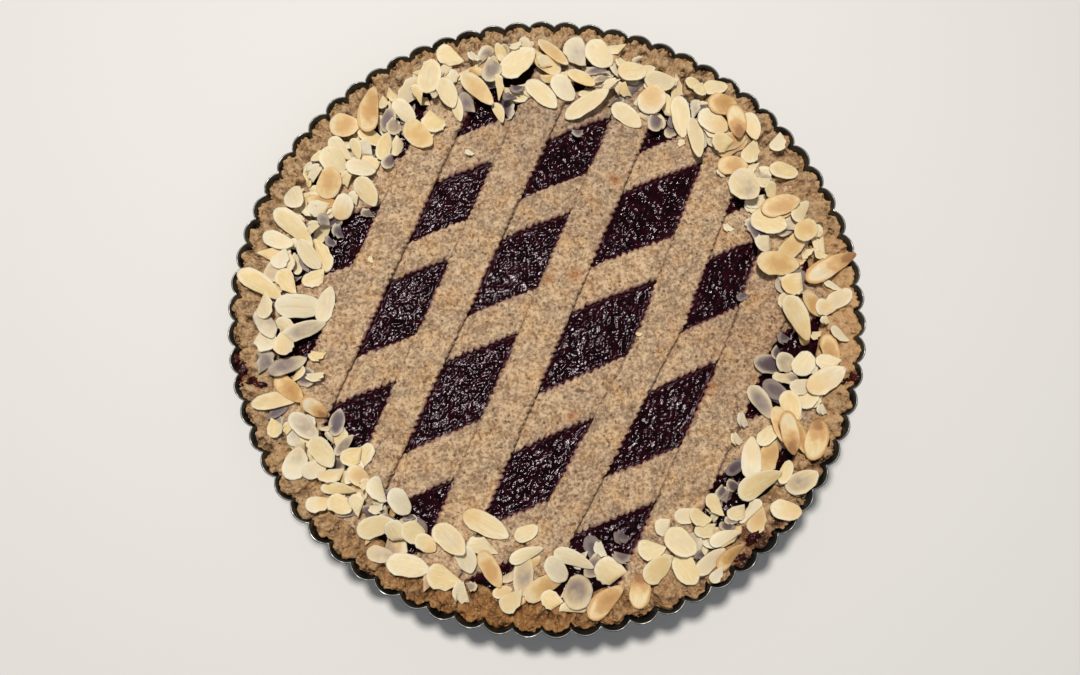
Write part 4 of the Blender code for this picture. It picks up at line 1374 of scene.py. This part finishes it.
def restFlake(heights, flake, sink):
    # the level and slopes at which a stiff flake comes to rest on what is under it
    s = flakeSet
    x, y, turn, length, width, kind = flake
    samples = coarseSamples[kind]
    dx, dy = spreadOut(samples, turn, length, width)
    need = heights[cellOf(x + dx, y + dy)] - flakeLift(flakeKinds[kind], *samples)
    need = need + s["thick"] / 2 + s["gap"] - sink
    slopeX = slopeY = level = 0.0
    reach = s["slopeLimit"]
    for _ in range(s["rounds"]):
        slopes = np.linspace(-reach, reach, s["slopes"])
        tryX, tryY = [one.ravel() for one in np.meshgrid(slopeX + slopes, slopeY + slopes)]
        levels = (need[None, :] - tryX[:, None] * dx[None, :] - tryY[:, None] * dy[None, :]).max(axis=1)
        levels = levels + s["slopeCost"] * np.maximum(0.0, np.hypot(tryX, tryY) - s["slopeLimit"])
        pick = int(np.argmin(levels))
        level, slopeX, slopeY = levels[pick], tryX[pick], tryY[pick]
        reach /= s["closer"]
    return level, slopeX, slopeY


def flakeTop(flake, rest):
    # the cells under the flake and the level of its upper face in each
    x, y, turn, length, width, kind = flake
    samples = fineSamples[kind]
    dx, dy = spreadOut(samples, turn, length, width)
    level, slopeX, slopeY = rest
    top = level + slopeX * dx + slopeY * dy + flakeLift(flakeKinds[kind], *samples) + flakeSet["thick"] / 2
    return cellOf(x + dx, y + dy), top


def flakeTurn(turn, rest):
    level, slopeX, slopeY = rest
    tilt = Vector((0, 0, 1)).rotation_difference(Vector((-slopeX, -slopeY, 1.0)).normalized())
    return tuple((tilt.to_matrix() @ Matrix.Rotation(turn, 3, "Z")).to_euler())


# almonds that can be told apart: middle x and y, turn in degrees, length and width in
# mm, kind, toast and stain from 0 to 9
shownFlakes = [
    # left side
    (-128.6, 8, -33, 24, 8.5, 2, 1, 0), (-111, -1.3, 0, 22, 11, 0, 0, 0), (-118, -44, 12, 22, 8.5, 2, 2, 0),
    (-113, -39, -38, 18, 8, 0, 7, 0), (-102, -47, -35, 13, 7, 0, 9, 1), (-116, 36, -45, 24, 9, 2, 1, 0),
    (-123, 30, -20, 15, 8, 1, 1, 0), (-121, 21, 70, 10, 8, 6, 0, 0), (-109, 24, -55, 16, 8, 1, 0, 1),
    (-105, 13, 20, 14, 8, 3, 1, 0), (-117, 10, -50, 13, 9, 6, 0, 0), (-100, 0, 75, 17, 8, 0, 0, 3),
    (-115, -28, 25, 17, 9, 1, 0, 6), (-102, -22, 60, 10, 7, 5, 0, 0), (-102, -32, 80, 9, 8, 5, 0, 0),
    (-116, -11, -45, 11, 6, 3, 1, 0), (-109, -12, 20, 20, 7.5, 0, 0, 5), (-116, -18, 75, 13, 8, 3, 2, 1),
    (-124, -2, 80, 12, 8, 6, 0, 1),
    # lower left
    (-118, -55, 80, 10, 6, 3, 0, 1), (-111.5, -57, -60, 8, 5, 5, 0, 1), (-92.5, -53, 80, 12, 7, 0, 0, 9),
    (-96.5, -55, 0, 7, 3.5, 10, 0, 4), (-94.5, -60, -40, 8, 2.5, 9, 0, 3),
    (-105.5, -55, -40, 16, 8.5, 1, 0, 5), (-104.5, -65, -20, 9, 6, 5, 0, 5),
    (-108.5, -71, 75, 14, 10, 4, 2, 3), (-100.5, -73, 30, 11, 8, 1, 1, 2), (-97.5, -67, -55, 15, 9, 0, 1, 0),
    (-88.5, -63, 50, 11, 4.5, 0, 0, 6), (-83.5, -68, 15, 12, 8, 3, 0, 1), (-89.5, -80.5, -5, 17, 5, 2, 0, 0),
    (-91.5, -76, 10, 14, 6, 3, 2, 0), (-81, -76.5, -35, 11, 8, 1, 4, 0), (-79, -83, -60, 8, 5, 5, 0, 0),
    (-59, -92.5, 30, 8, 5, 5, 0, 8), (-72, -82, -50, 12, 8, 12, 0, 0), (-63.5, -87, -50, 13, 9, 1, 1, 0),
    (-73, -88.5, 80, 8, 6, 5, 0, 3), (-97, -87.5, 20, 12, 8, 6, 3, 0), (-88.5, -88.5, -30, 11, 8, 0, 1, 0),
    (-80, -87.5, -50, 11, 7, 9, 1, 0), (-68, -93.5, 20, 8, 4.5, 9, 0, 6), (-73, -95.5, 28, 17, 9, 0, 0, 2),
    (-64, -100.5, -60, 13, 8, 3, 0, 0), (-57, -99.5, -30, 11, 9, 1, 0, 1), (-52, -104.5, -35, 10, 7, 0, 3, 0),
    (-71, -108.5, -10, 12, 7, 1, 1, 4), (-59, -113.5, -12, 18, 9.5, 0, 0, 2),
    # lower side
    (-27, -97, -27, 21.5, 9.5, 0, 3, 0), (-10, -100, 25, 11, 7, 1, 1, 0), (23, -128, 40, 19, 8.5, 2, 7, 0),
    (37, -124, 85, 14, 9, 1, 8, 0), (26, -117, -35, 15, 11, 3, 1, 0), (10, -111, -24, 18.5, 6.5, 2, 1, 0),
    (-2, -122, 25, 21, 8, 2, 5, 0), (3, -115, -50, 13, 9, 1, 0, 0), (-35, -111, -70, 12, 8.5, 0, 0, 1),
    (-25, -115, -60, 17, 7.5, 0, 6, 0), (-44, -118, -10, 15, 11, 6, 1, 0), (-35, -124, 0, 12, 9, 5, 0, 1),
    (-42, -103, -45, 18, 10, 0, 0, 0), (-10, -109, 20, 15, 5.5, 2, 0, 0), (11, -124, 80, 15, 12, 1, 0, 6),
    (1, -128, -40, 11, 7, 3, 2, 0), (-14, -126, 60, 12, 9, 6, 2, 0), (32, -101, 30, 11, 6.5, 5, 0, 9),
    (31, -109, 60, 9, 8, 5, 0, 7), (23, -107, 0, 9, 7, 5, 0, 1), (43, -107, 10, 12, 10, 6, 0, 0),
    (45, -115, 35, 15, 9.5, 0, 2, 0),
    # lower right
    (75, -98, 0, 7, 5, 6, 0, 8), (78, -95, 15, 9, 4, 5, 0, 6), (80, -81, -30, 8, 5, 3, 0, 8),
    (77, -85, -35, 10, 6, 5, 0, 6), (74, -83, 60, 8, 4, 3, 0, 7), (49, -98, 10, 9, 7, 3, 0, 2),
    (81, -92, 20, 12, 6, 3, 1, 3), (72, -94, -60, 10, 6, 5, 1, 1), (71, -89, -50, 11, 7, 6, 1, 0),
    (64, -109, 10, 9, 4, 5, 0, 7), (67, -112, 40, 16, 6.5, 0, 1, 3), (75, -110, 42, 15, 6, 2, 7, 0),
    (69, -117, 60, 8, 5, 6, 1, 0), (57, -115, -60, 14, 10, 1, 0, 0), (67, -99.5, 10, 13, 6, 3, 0, 0),
    (58, -93, 10, 10, 7, 1, 2, 0), (55, -104, -40, 15, 11, 1, 0, 0), (64, -94, -5, 10, 9, 6, 0, 0),
    (73, -102.5, 22, 13, 5.5, 2, 1, 0), (88, -95, 70, 12, 8, 6, 4, 3), (100, -91, -10, 13, 9, 1, 3, 1),
    (108, -79, 28, 15, 9, 4, 1, 5), (101.5, -75, 65, 12, 5.5, 1, 0, 1), (95.5, -68, 65, 15, 9, 0, 5, 0),
    (87.5, -69, 83, 19, 8.5, 0, 2, 0), (89.5, -80, 28, 21, 10, 2, 1, 0), (83, -60, 20, 9, 6, 5, 0, 0),
    (95, -59, 45, 12, 7, 1, 0, 1), (86, -52, 10, 9, 7, 5, 0, 4),
    # right side
    (128.5, 17, 27, 25, 9, 2, 8, 0), (113, -8, -75, 22, 9, 2, 3, 0), (107.5, 45, 25, 18, 9, 1, 6, 0),
    (100, 29, 0, 10, 8, 5, 0, 3), (125, 34, 25, 9, 4.5, 5, 1, 0), (99.5, 28.5, 20, 12, 8, 3, 0, 3),
    (111.5, 27.5, 50, 18, 9, 1, 4, 0), (121, 26.5, 50, 12, 3.5, 5, 2, 2), (126, 23.5, 30, 9, 5, 5, 0, 1),
    (116.5, 21.5, 45, 8, 4, 5, 6, 2), (104.5, 18.5, 0, 21, 11.5, 0, 5, 0), (131, 2.5, 30, 13, 8, 1, 2, 1),
    (111.5, 8.5, 15, 14, 10, 3, 3, 0), (119, 0, -50, 14, 8, 0, 6, 0), (125, -1.5, -10, 9, 8, 6, 3, 0),
    (126, -7, 10, 9, 4, 5, 0, 0), (122, -12, 60, 9, 4, 5, 0, 2), (130, -14.5, -30, 10, 7, 6, 1, 1),
    (106.5, -14, 40, 10, 6, 5, 0, 8), (103, -21.5, 60, 9, 5, 3, 0, 9), (106, -26.5, -10, 11, 9, 0, 0, 5),
    (114, -26.5, 60, 12, 10, 1, 1, 0), (125, -27.5, -20, 13, 7, 3, 0, 0), (105.5, -34, -10, 12, 5, 9, 0, 4),
    (112.5, -37.5, 10, 12, 7, 3, 0, 3), (100.5, -38.5, -35, 12, 8, 1, 0, 7),
    (93.5, -44.5, -60, 17, 8, 2, 0, 6), (122.5, -35, 30, 19, 10.5, 0, 3, 0), (121, -47.5, 10, 9, 5, 5, 1, 2),
    (89.5, 5, 40, 9, 5, 5, 0, 8), (106, -47, -85, 15, 9, 0, 1, 0), (101, -55, -80, 17, 8, 0, 5, 0),
    (108.5, -60, -70, 16, 7, 2, 7, 0), (105, -58, -77, 19, 8, 0, 8, 0), (115.5, -61, 72, 19, 10, 1, 8, 0),
    # upper side
    (111, 65, -10, 14, 8, 1, 0, 3), (97.5, 63.5, 30, 10, 7, 3, 0, 5), (96.5, 66.5, 60, 9, 4, 9, 1, 0),
    (83, 64, -15, 8, 4, 5, 0, 0), (87, 67.5, -5, 14, 9, 0, 6, 0), (96, 75.5, 70, 13, 9, 6, 1, 3),
    (83, 77.5, -20, 13, 9, 3, 1, 0), (100.5, 60.5, 70, 12, 8, 5, 0, 1), (94, 55, -50, 17, 13, 4, 0, 4),
    (107.5, 52, 20, 9, 8, 5, 0, 1), (103.5, 54, -60, 9, 7, 6, 2, 0), (117, 44, 50, 14, 7, 2, 2, 0),
    (102, 39.5, -25, 17, 12, 1, 1, 0), (107.5, 46.5, 15, 18, 10, 0, 6, 0), (118, 35, 40, 13, 10, 1, 4, 0),
    (108.5, 79, 80, 9, 8, 6, 0, 1), (80.5, 107.5, 0, 12, 8, 1, 0, 2), (74, 106.5, 30, 8, 7, 3, 0, 3),
    (75, 99, 60, 9, 6, 5, 0, 7), (71, 96, -85, 14, 5, 9, 0, 4), (58.5, 98, -75, 16, 5.5, 3, 0, 1),
    (64, 93.5, -85, 21, 9, 0, 0, 0), (64, 79, -80, 6, 4, 5, 0, 0), (70, 81.5, -85, 21, 8, 2, 1, 0),
    (79, 88.5, -45, 16, 11, 1, 3, 0), (83.5, 98.5, 0, 15, 11, 1, 7, 0), (97, 87, -75, 14, 7.5, 0, 2, 0),
    (89.5, 89, -85, 18, 9, 0, 8, 0), (52, 91.5, 80, 11, 7, 3, 0, 7), (54, 110.5, -10, 15, 9, 1, 0, 2),
    (49.5, 101.5, 60, 15, 13, 1, 4, 0), (38, 93.5, -40, 17, 9, 0, 1, 1), (38.5, 121, 30, 12, 8, 5, 0, 0),
    (32.5, 109.5, 45, 12, 4, 5, 0, 0), (32.5, 106, -60, 10, 8, 5, 0, 0), (48, 116.5, 50, 11, 9, 6, 1, 0),
    (42.5, 113.5, 0, 14, 11, 1, 2, 0), (25.5, 117, 5, 15, 4.5, 9, 0, 7), (27.5, 113, 20, 12, 3.5, 9, 0, 6),
    (25.5, 125, -45, 16, 12, 1, 0, 2), (15, 126, -60, 17, 12, 6, 0, 4), (21.5, 106, 5, 13, 4.5, 3, 0, 0),
    (16.5, 112, -35, 15, 7.5, 2, 2, 0), (8, 108, -50, 15, 10, 1, 0, 0), (19, 98.5, 27, 24, 9.5, 0, 1, 0),
    (14.5, 87.5, 80, 8, 6, 5, 0, 7), (-2.5, 104.5, -48, 20, 10, 0, 1, 0), (-1, 119, -50, 9, 5, 3, 3, 0),
    (1.5, 125.5, -38, 19, 8.5, 2, 4, 0), (-14, 107.5, 60, 9, 7, 5, 0, 9), (-17.5, 102.5, 20, 8, 4, 9, 0, 8),
    (-20.5, 124, 40, 8, 5, 5, 0, 0), (-14, 119, 40, 20, 12, 0, 0, 0), (-26, 117.5, 70, 15, 9, 3, 0, 6),
    (-14, 130, 80, 9, 6, 5, 0, 0), (-34, 123.5, 30, 9, 7, 5, 0, 0), (-46.5, 124, -20, 14, 10, 6, 0, 0),
    (-55, 118, 20, 9, 7, 5, 0, 2),
    # upper left
    (-38.5, 99, -70, 13, 7, 3, 0, 6), (-43, 97, -75, 13, 5.5, 0, 0, 1), (-23, 96, -70, 14, 5, 2, 1, 0),
    (-22.5, 106.5, -77, 15, 4, 9, 0, 0), (-33.5, 106.5, -42, 20, 9, 2, 4, 0),
    (-54, 110.5, 80, 17, 11, 1, 0, 0), (-48.5, 104, -70, 15, 9, 0, 0, 0), (-49.5, 109, 0, 9, 9, 8, 2, 0),
    (-60.5, 101.5, -55, 12, 4.5, 9, 0, 0), (-65.5, 107.5, 20, 11, 9, 1, 0, 2),
    (-53.5, 91, 70, 15, 11, 3, 0, 0), (-68, 95.5, -50, 15, 8, 0, 0, 1), (-76, 91.5, 75, 12, 7, 1, 0, 7),
    (-72.5, 88.5, 60, 9, 7, 3, 0, 6), (-71, 80, 70, 12, 5.5, 3, 0, 2), (-61, 83.5, -42, 19, 11, 1, 4, 0),
    (-83, 82, -20, 14, 8, 1, 0, 0), (-77, 77.5, 77, 15, 7, 0, 0, 1), (-95.5, 87, -10, 15, 12, 1, 5, 0),
    (-84, 95, 83, 25, 9.5, 2, 6, 0), (-74, 70, 50, 10, 5.5, 3, 0, 7), (-85.5, 74.5, -70, 10, 6, 3, 0, 3),
    (-89.5, 75, -75, 10, 5, 0, 0, 0), (-96.5, 75, -40, 14, 8, 6, 1, 0), (-99.5, 69, -45, 14, 12, 1, 0, 0),
    (-108, 63, -60, 11, 8, 5, 0, 0), (-92, 59.5, -45, 10, 7, 5, 0, 0), (-87, 65.5, -5, 14, 9, 1, 0, 0),
    (-101.5, 57.5, 80, 15.5, 11, 1, 5, 0), (-84, 54, -60, 15, 9, 0, 0, 2), (-89, 50.5, -50, 8, 4, 9, 0, 1),
    (-83, 45, 0, 8, 4, 9, 0, 7), (-116, 50, -60, 13, 10, 1, 0, 0), (-106, 46, -10, 12, 8, 3, 3, 0),
    (-95, 46.5, 80, 12.5, 9.5, 1, 3, 1), (-102.5, 38.5, -70, 8, 5, 3, 0, 6), (-95.5, 36, 0, 9, 7, 5, 0, 9),
    (-99.5, 31.5, 30, 7, 6, 5, 0, 8), (-106.5, 34.5, -70, 9, 6, 5, 0, 2),
    # strays on the lattice
    (-36, 75, 30, 6, 4.5, 5, 0, 0), (41, -13, 60, 4, 3, 5, 0, 0), (85, 38, 20, 7, 5, 5, 0, 0),
    (-80, 21, 0, 4, 3.5, 5, 0, 0),
]
shownSet = dict(shrink=0.985, nudges=14, nudge=3.0, pressed=0.5, sink=0.1)
scatterSet = dict(
    count=350, seed=21, middle=118.5, spread=7.5, least=101.0, most=131.0, pile=1.5, tries=8, sink=0.2,
    reach=133.0, clear=8.0, jamTop=22.6, innerFrom=118.0, innerOver=14.0, wetOnJam=0.7, wetOnDough=0.3,
    lengths=(8, 18), slimness=(0.42, 0.62), kinds=(0, 0, 1, 2, 3, 4, 5, 6, 7, 8, 9, 10, 11, 12, 9, 11, 12),
    # from and to in degrees, and the share left out there
    sparse=((20, 62, 0.3), (175, 205, 0.35), (205, 245, 0.4), (245, 290, 0.45), (290, 333, 0.6),
            (333, 360, 0.5), (0, 14, 0.4)),
    # from and to in degrees: how far out they lie at most, how much deeper and how much wetter
    inward=(18, 52, 115.0), deeper=(60, 180, 1.1), wetter=(165, 240, 0.3),
)


class Heap:
    # the flakes laid so far, and how high the food stands with them in each cell
    def __init__(self, seed):
        self.draw = random.Random(seed)
        self.heights = foodTop.copy()
        self.rows = []

    def tried(self, flake, sink):
        # how the flake would rest, its cells and upper face, and by how much it is too high
        rest = restFlake(self.heights, flake, sink)
        place, top = flakeTop(flake, rest)
        return rest, place, top, top.max() - flakeSet["tallest"]

    def keep(self, flake, toast, stain, found):
        x, y, turn, length, width, kind = flake
        rest, place, top, over = found
        over = max(0.0, over)
        np.maximum.at(self.heights, place, top - over)
        size = (length * mm, width * mm, mm * self.draw.uniform(0.8, 1.15))
        # where along the flake its toast or its stain begins
        if toast < 0.5:
            where = self.draw.choice((-0.42, -0.3, 0.0, 0.3, 0.45))
        else:
            where = 0.36 if toast > 0.95 else 0.06
        tone, glass = self.draw.uniform(0, 1) ** 0.65, self.draw.uniform(0, 1)
        middle = (x * mm, y * mm, (rest[0] - over) * mm)
        self.rows.append(dict(place=middle, turn=flakeTurn(turn, rest), size=size, kind=kind, tone=tone,
                              toast=toast, stain=stain, where=where, glass=glass))


def inSector(heading, low, high, value):
    return value if low < heading < high else 0.0


def scatterFlakes(heap):
    # a seeded scatter, one or two deep
    s = scatterSet
    draw = heap.draw
    clear = [(row[0], row[1]) for row in shownFlakes if row[6] >= 5]   # the toasted ones stay in sight
    for number in range(s["count"]):
        length = draw.uniform(*s["lengths"])
        width = length * draw.uniform(*s["slimness"])
        kind = draw.choice(s["kinds"])
        toast = draw.uniform(0, 1) ** 4
        for _ in range(s["tries"]):
            radius = min(s["most"], max(s["least"], draw.gauss(s["middle"], s["spread"])))
            angle = number * math.pi * (3 - math.sqrt(5)) + draw.uniform(-0.06, 0.06)
            heading = math.degrees(angle) % 360
            radius = min(radius, inSector(heading, *s["inward"]) or radius)
            if any(low < heading < high and draw.uniform(0, 1) < share for low, high, share in s["sparse"]):
                break
            wetter = max(0.0, (s["innerFrom"] - radius) / s["innerOver"]) + inSector(heading, *s["wetter"])
            wet = draw.uniform(0, 1) ** 1.3
            x, y = radius * math.cos(angle), radius * math.sin(angle)
            flake = x, y, draw.uniform(0, fullTurn), length, width, kind
            if min(math.hypot(x - one[0], y - one[1]) for one in clear) < s["clear"]:
                continue
            found = heap.tried(flake, s["sink"])
            _, place, top, over = found
            if np.hypot(place[0] - cells / 2, place[1] - cells / 2).max() * cell > s["reach"]:
                continue
            pile = s["pile"] + inSector(heading, *s["deeper"])
            if over <= 0 and (top - foodTop[place]).min() <= pile:
                onJam = foodTop[place].min() < s["jamTop"]
                wet *= s["wetOnJam"] + wetter if onJam else s["wetOnDough"]
                heap.keep(flake, toast, min(1.0, wet), found)
                break
    print("scattered:", len(heap.rows), "flakes")


def layShown(heap):
    # each is nudged till it isn't too high, and is left out if it would have to be pressed far
    s = shownSet
    draw = heap.draw
    dropped = 0
    for x, y, turn, length, width, kind, toast, stain in shownFlakes:
        x, y, turn = x * s["shrink"], y * s["shrink"], math.radians(turn)
        best = None
        for attempt in range(s["nudges"]):
            reach = s["nudge"] * attempt / s["nudges"]
            flake = (x + draw.uniform(-reach, reach), y + draw.uniform(-reach, reach),
                     turn + draw.uniform(-0.1, 0.1) * reach, length, width, kind)
            found = heap.tried(flake, s["sink"])
            if best is None or found[3] < best[1][3]:
                best = flake, found
            if found[3] <= 0:
                break
        flake, found = best
        if found[3] > s["pressed"]:
            dropped += 1
        else:
            heap.keep(flake, min(1.0, toast / 8), stain / 9, found)
    highest = round(float(heap.heights.max()), 2)
    print("almonds:", len(heap.rows), "laid,", dropped, "left out, up to", highest, "mm")


def scatterTree():
    # lays one of the kinds on each point, turned and sized by the point's own values
    tree, given = newTree("scatterKinds", [("Kinds", "Collection"), ("Finish", "Material")])

    def read(name, kind):
        return put(tree, "GeometryNodeInputNamedAttribute", {"data_type": kind}, Name=name).outputs[0]

    kinds = put(tree, "GeometryNodeCollectionInfo", Collection=given["Kinds"], Separate_Children=True,
                Reset_Children=True)
    turn = put(tree, "FunctionNodeEulerToRotation", Euler=read("turn", "FLOAT_VECTOR"))
    laid = put(tree, "GeometryNodeInstanceOnPoints", Points=given["Geometry"], Instance=kinds.outputs[0],
               Pick_Instance=True, Instance_Index=read("kind", "INT"), Rotation=turn.outputs[0],
               Scale=read("size", "FLOAT_VECTOR"))
    endTree(tree, laid.outputs[0], given["Finish"])
    return tree


scatterKinds = scatterTree()


def scatterPiece(name, rows, store, finish):
    # one mesh of all the rows' pieces, whose values stay as attributes for the finish
    mesh = bpy.data.meshes.new(name)
    mesh.from_pydata([row["place"] for row in rows], [], [])
    mesh.attributes.new("kind", "INT", "POINT").data.foreach_set("value", [row["kind"] for row in rows])
    for label in rows[0]:
        if label not in ("place", "kind"):
            giveAttribute(mesh, label, [row[label] for row in rows])
    piece = runTree(newObject(name, mesh), scatterKinds, {"Kinds": store, "Finish": finish})
    for kind in list(store.objects):
        bpy.data.objects.remove(kind)
    bpy.data.collections.remove(store)
    print(name + ":", len(rows), "laid,", len(piece.data.polygons), "faces")
    return piece


heap = Heap(scatterSet["seed"])
scatterFlakes(heap)
layShown(heap)
almondFlakes = scatterPiece("almondFlakes", heap.rows, makeFlakeKinds(), almondFinish())


# crumbs that have broken off the dough

crumbSet = dict(
    count=900, seed=9, kinds=4, least=0.35, most=1.2, sunk=0.3, flat=0.75, uneven=(0.7, 1.2),
    reach=137.0, wreath=118.0, leftOutWithin=0.45, jamTop=22.9, rimTop=30.0,
)


def makeCrumbKinds():
    s = crumbSet
    store = newStore("crumbKinds")
    draw = random.Random(s["seed"])

    def unevenBall(shape):
        bmesh.ops.create_icosphere(shape, subdivisions=1, radius=0.5)
        for vert in shape.verts:
            vert.co *= draw.uniform(*s["uneven"])
            vert.co.z *= s["flat"]
        for face in shape.faces:
            face.smooth = True

    for number in range(s["kinds"]):
        mesh = bpy.data.meshes.new(f"crumbKind{number}")
        editShape(mesh, unevenBall)
        store.objects.link(bpy.data.objects.new(mesh.name, mesh))
    return store


def crumbRows():
    # they lie on the crust and the lattice, where no almond does
    s = crumbSet
    draw = random.Random(s["seed"])
    rows = []
    while len(rows) < s["count"]:
        radius = s["reach"] * math.sqrt(draw.uniform(0.0, 1.0))
        if radius < s["wreath"] and draw.uniform(0, 1) < s["leftOutWithin"]:
            continue
        angle = draw.uniform(0, fullTurn)
        x, y = np.array(radius * math.cos(angle)), np.array(radius * math.sin(angle))
        z = foodTop[cellOf(x, y)]
        underFlake = heap.heights[cellOf(x, y)] > z + 0.01
        if z < s["jamTop"] or z > s["rimTop"] or underFlake:
            continue
        size = s["least"] + (s["most"] - s["least"]) * draw.uniform(0, 1) ** 2.2
        turn = tuple(draw.uniform(0, 6.28) for _ in range(3))
        place = (x * mm, y * mm, (z + size * (0.5 - s["sunk"])) * mm)
        rows.append(dict(place=place, turn=turn, size=(size * mm,) * 3, kind=draw.randrange(s["kinds"]),
                         relief=draw.uniform(0.0, 0.6), side=0.0, soak=0.0))
    return rows


doughCrumbs = scatterPiece("doughCrumbs", crumbRows(), makeCrumbKinds(), bpy.data.materials["nutDough"])


# jam that has boiled over on to the rim

leakSet = dict(
    rings=9, steps=40, seed=4, uneven=0.35, rough=0.35, roughSize=1.3, sunk=0.6, reach=138.9, lowest=27.2,
    under=0.8, thin=0.3,
)
leaks = [   # middle x and y, turn in degrees, length, width and thickness in mm
    (-132.6, -29.6, 78, 8.0, 5.5, 1.3), (-129.6, -34.6, 10, 8.5, 4.4, 1.0),
    (-124.6, -36.0, -10, 6.0, 2.8, 0.7), (-135.3, -25.0, 80, 5.0, 2.8, 0.8),
    (133.2, -33.4, -75, 6.0, 3.8, 1.1), (129.6, -34.6, 20, 4.5, 2.4, 0.6),
    (84.5, -101.0, 40, 8.0, 4.0, 0.7), (78.5, -109.0, 30, 7.0, 3.6, 0.6),
    (119.0, -62.0, 60, 5.0, 2.6, 0.5),
]
leakBase = evened(foodTop, 3)


def leakPoints(number, x, y, turn, length, width, thick):
    # rings from near the middle out and down, then the middle above and the middle below
    s = leakSet
    angle = fullTurn * np.arange(s["steps"]) / s["steps"]
    share = np.linspace(0, 1, s["rings"])[1:, None]
    reach = 1 + s["uneven"] * waves(np.cos(angle) * 2 + 9 * number, np.sin(angle) * 2, 1.0, s["seed"])
    u = share * reach * np.cos(angle) * length / 2
    v = share * reach * np.sin(angle) * width / 2
    c, d = math.cos(math.radians(turn)), math.sin(math.radians(turn))
    px, py = x + u * c - v * d, y + u * d + v * c
    wall = s["reach"] - tinSet["fluteDepth"] / mm * fluteDip(np.arctan2(py, px))
    inside = np.minimum(1.0, wall / np.hypot(px, py))
    px, py = px * inside, py * inside
    base = np.maximum(leakBase[cellOf(px, py)], s["lowest"])
    dome = thick * np.sqrt(np.maximum(0.0, 1 - share ** 2))
    rough = s["rough"] * waves(px, py, s["roughSize"], 6) * (1 - share ** 4)
    top = base + dome + rough - s["sunk"] * share ** 6
    low = top[-1] - s["under"]
    middleBase = max(leakBase[cellOf(np.array(x), np.array(y))], s["lowest"])
    middle = [(x, y, middleBase + thick), (x, y, low.mean())]
    return np.vstack([pointRows(px, py, top), pointRows(px[-1], py[-1], low), middle])


def makeLeaks():
    s = leakSet
    points, quads, fans = [], [], []
    for number, leak in enumerate(leaks):
        sides, tips = ringFaces(s["rings"], s["steps"], sum(len(part) for part in points))
        points.append(leakPoints(number, *leak))
        quads.append(sides)
        fans.append(tips)
    mesh = newMesh("jamLeaks", np.vstack(points) * mm, [np.vstack(quads), np.vstack(fans)])
    editShape(mesh)
    giveAttribute(mesh, "thin", np.full(len(mesh.vertices), s["thin"]))
    return newObject("jamLeaks", mesh, bpy.data.materials["darkJam"])


jamLeaks = makeLeaks()
print("leaks:", len(leaks))


# every piece rides on the one body, and the nodes it replaces are hidden

def settle(piece, slot, *nodes):
    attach(piece, "root")
    if nodes:
        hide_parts(*nodes)


settle(tinShell, "tin_coating", "tin")
settle(crustCase, "nut_crust", "crust")
settle(jamFilling, "dark_jam", "jam")
for piece, node in lattice:
    settle(piece, "nut_dough", node)
settle(almondFlakes, "flaked_almond", "almond_wreath")
settle(doughCrumbs, "nut_dough")
settle(jamLeaks, "dark_jam")
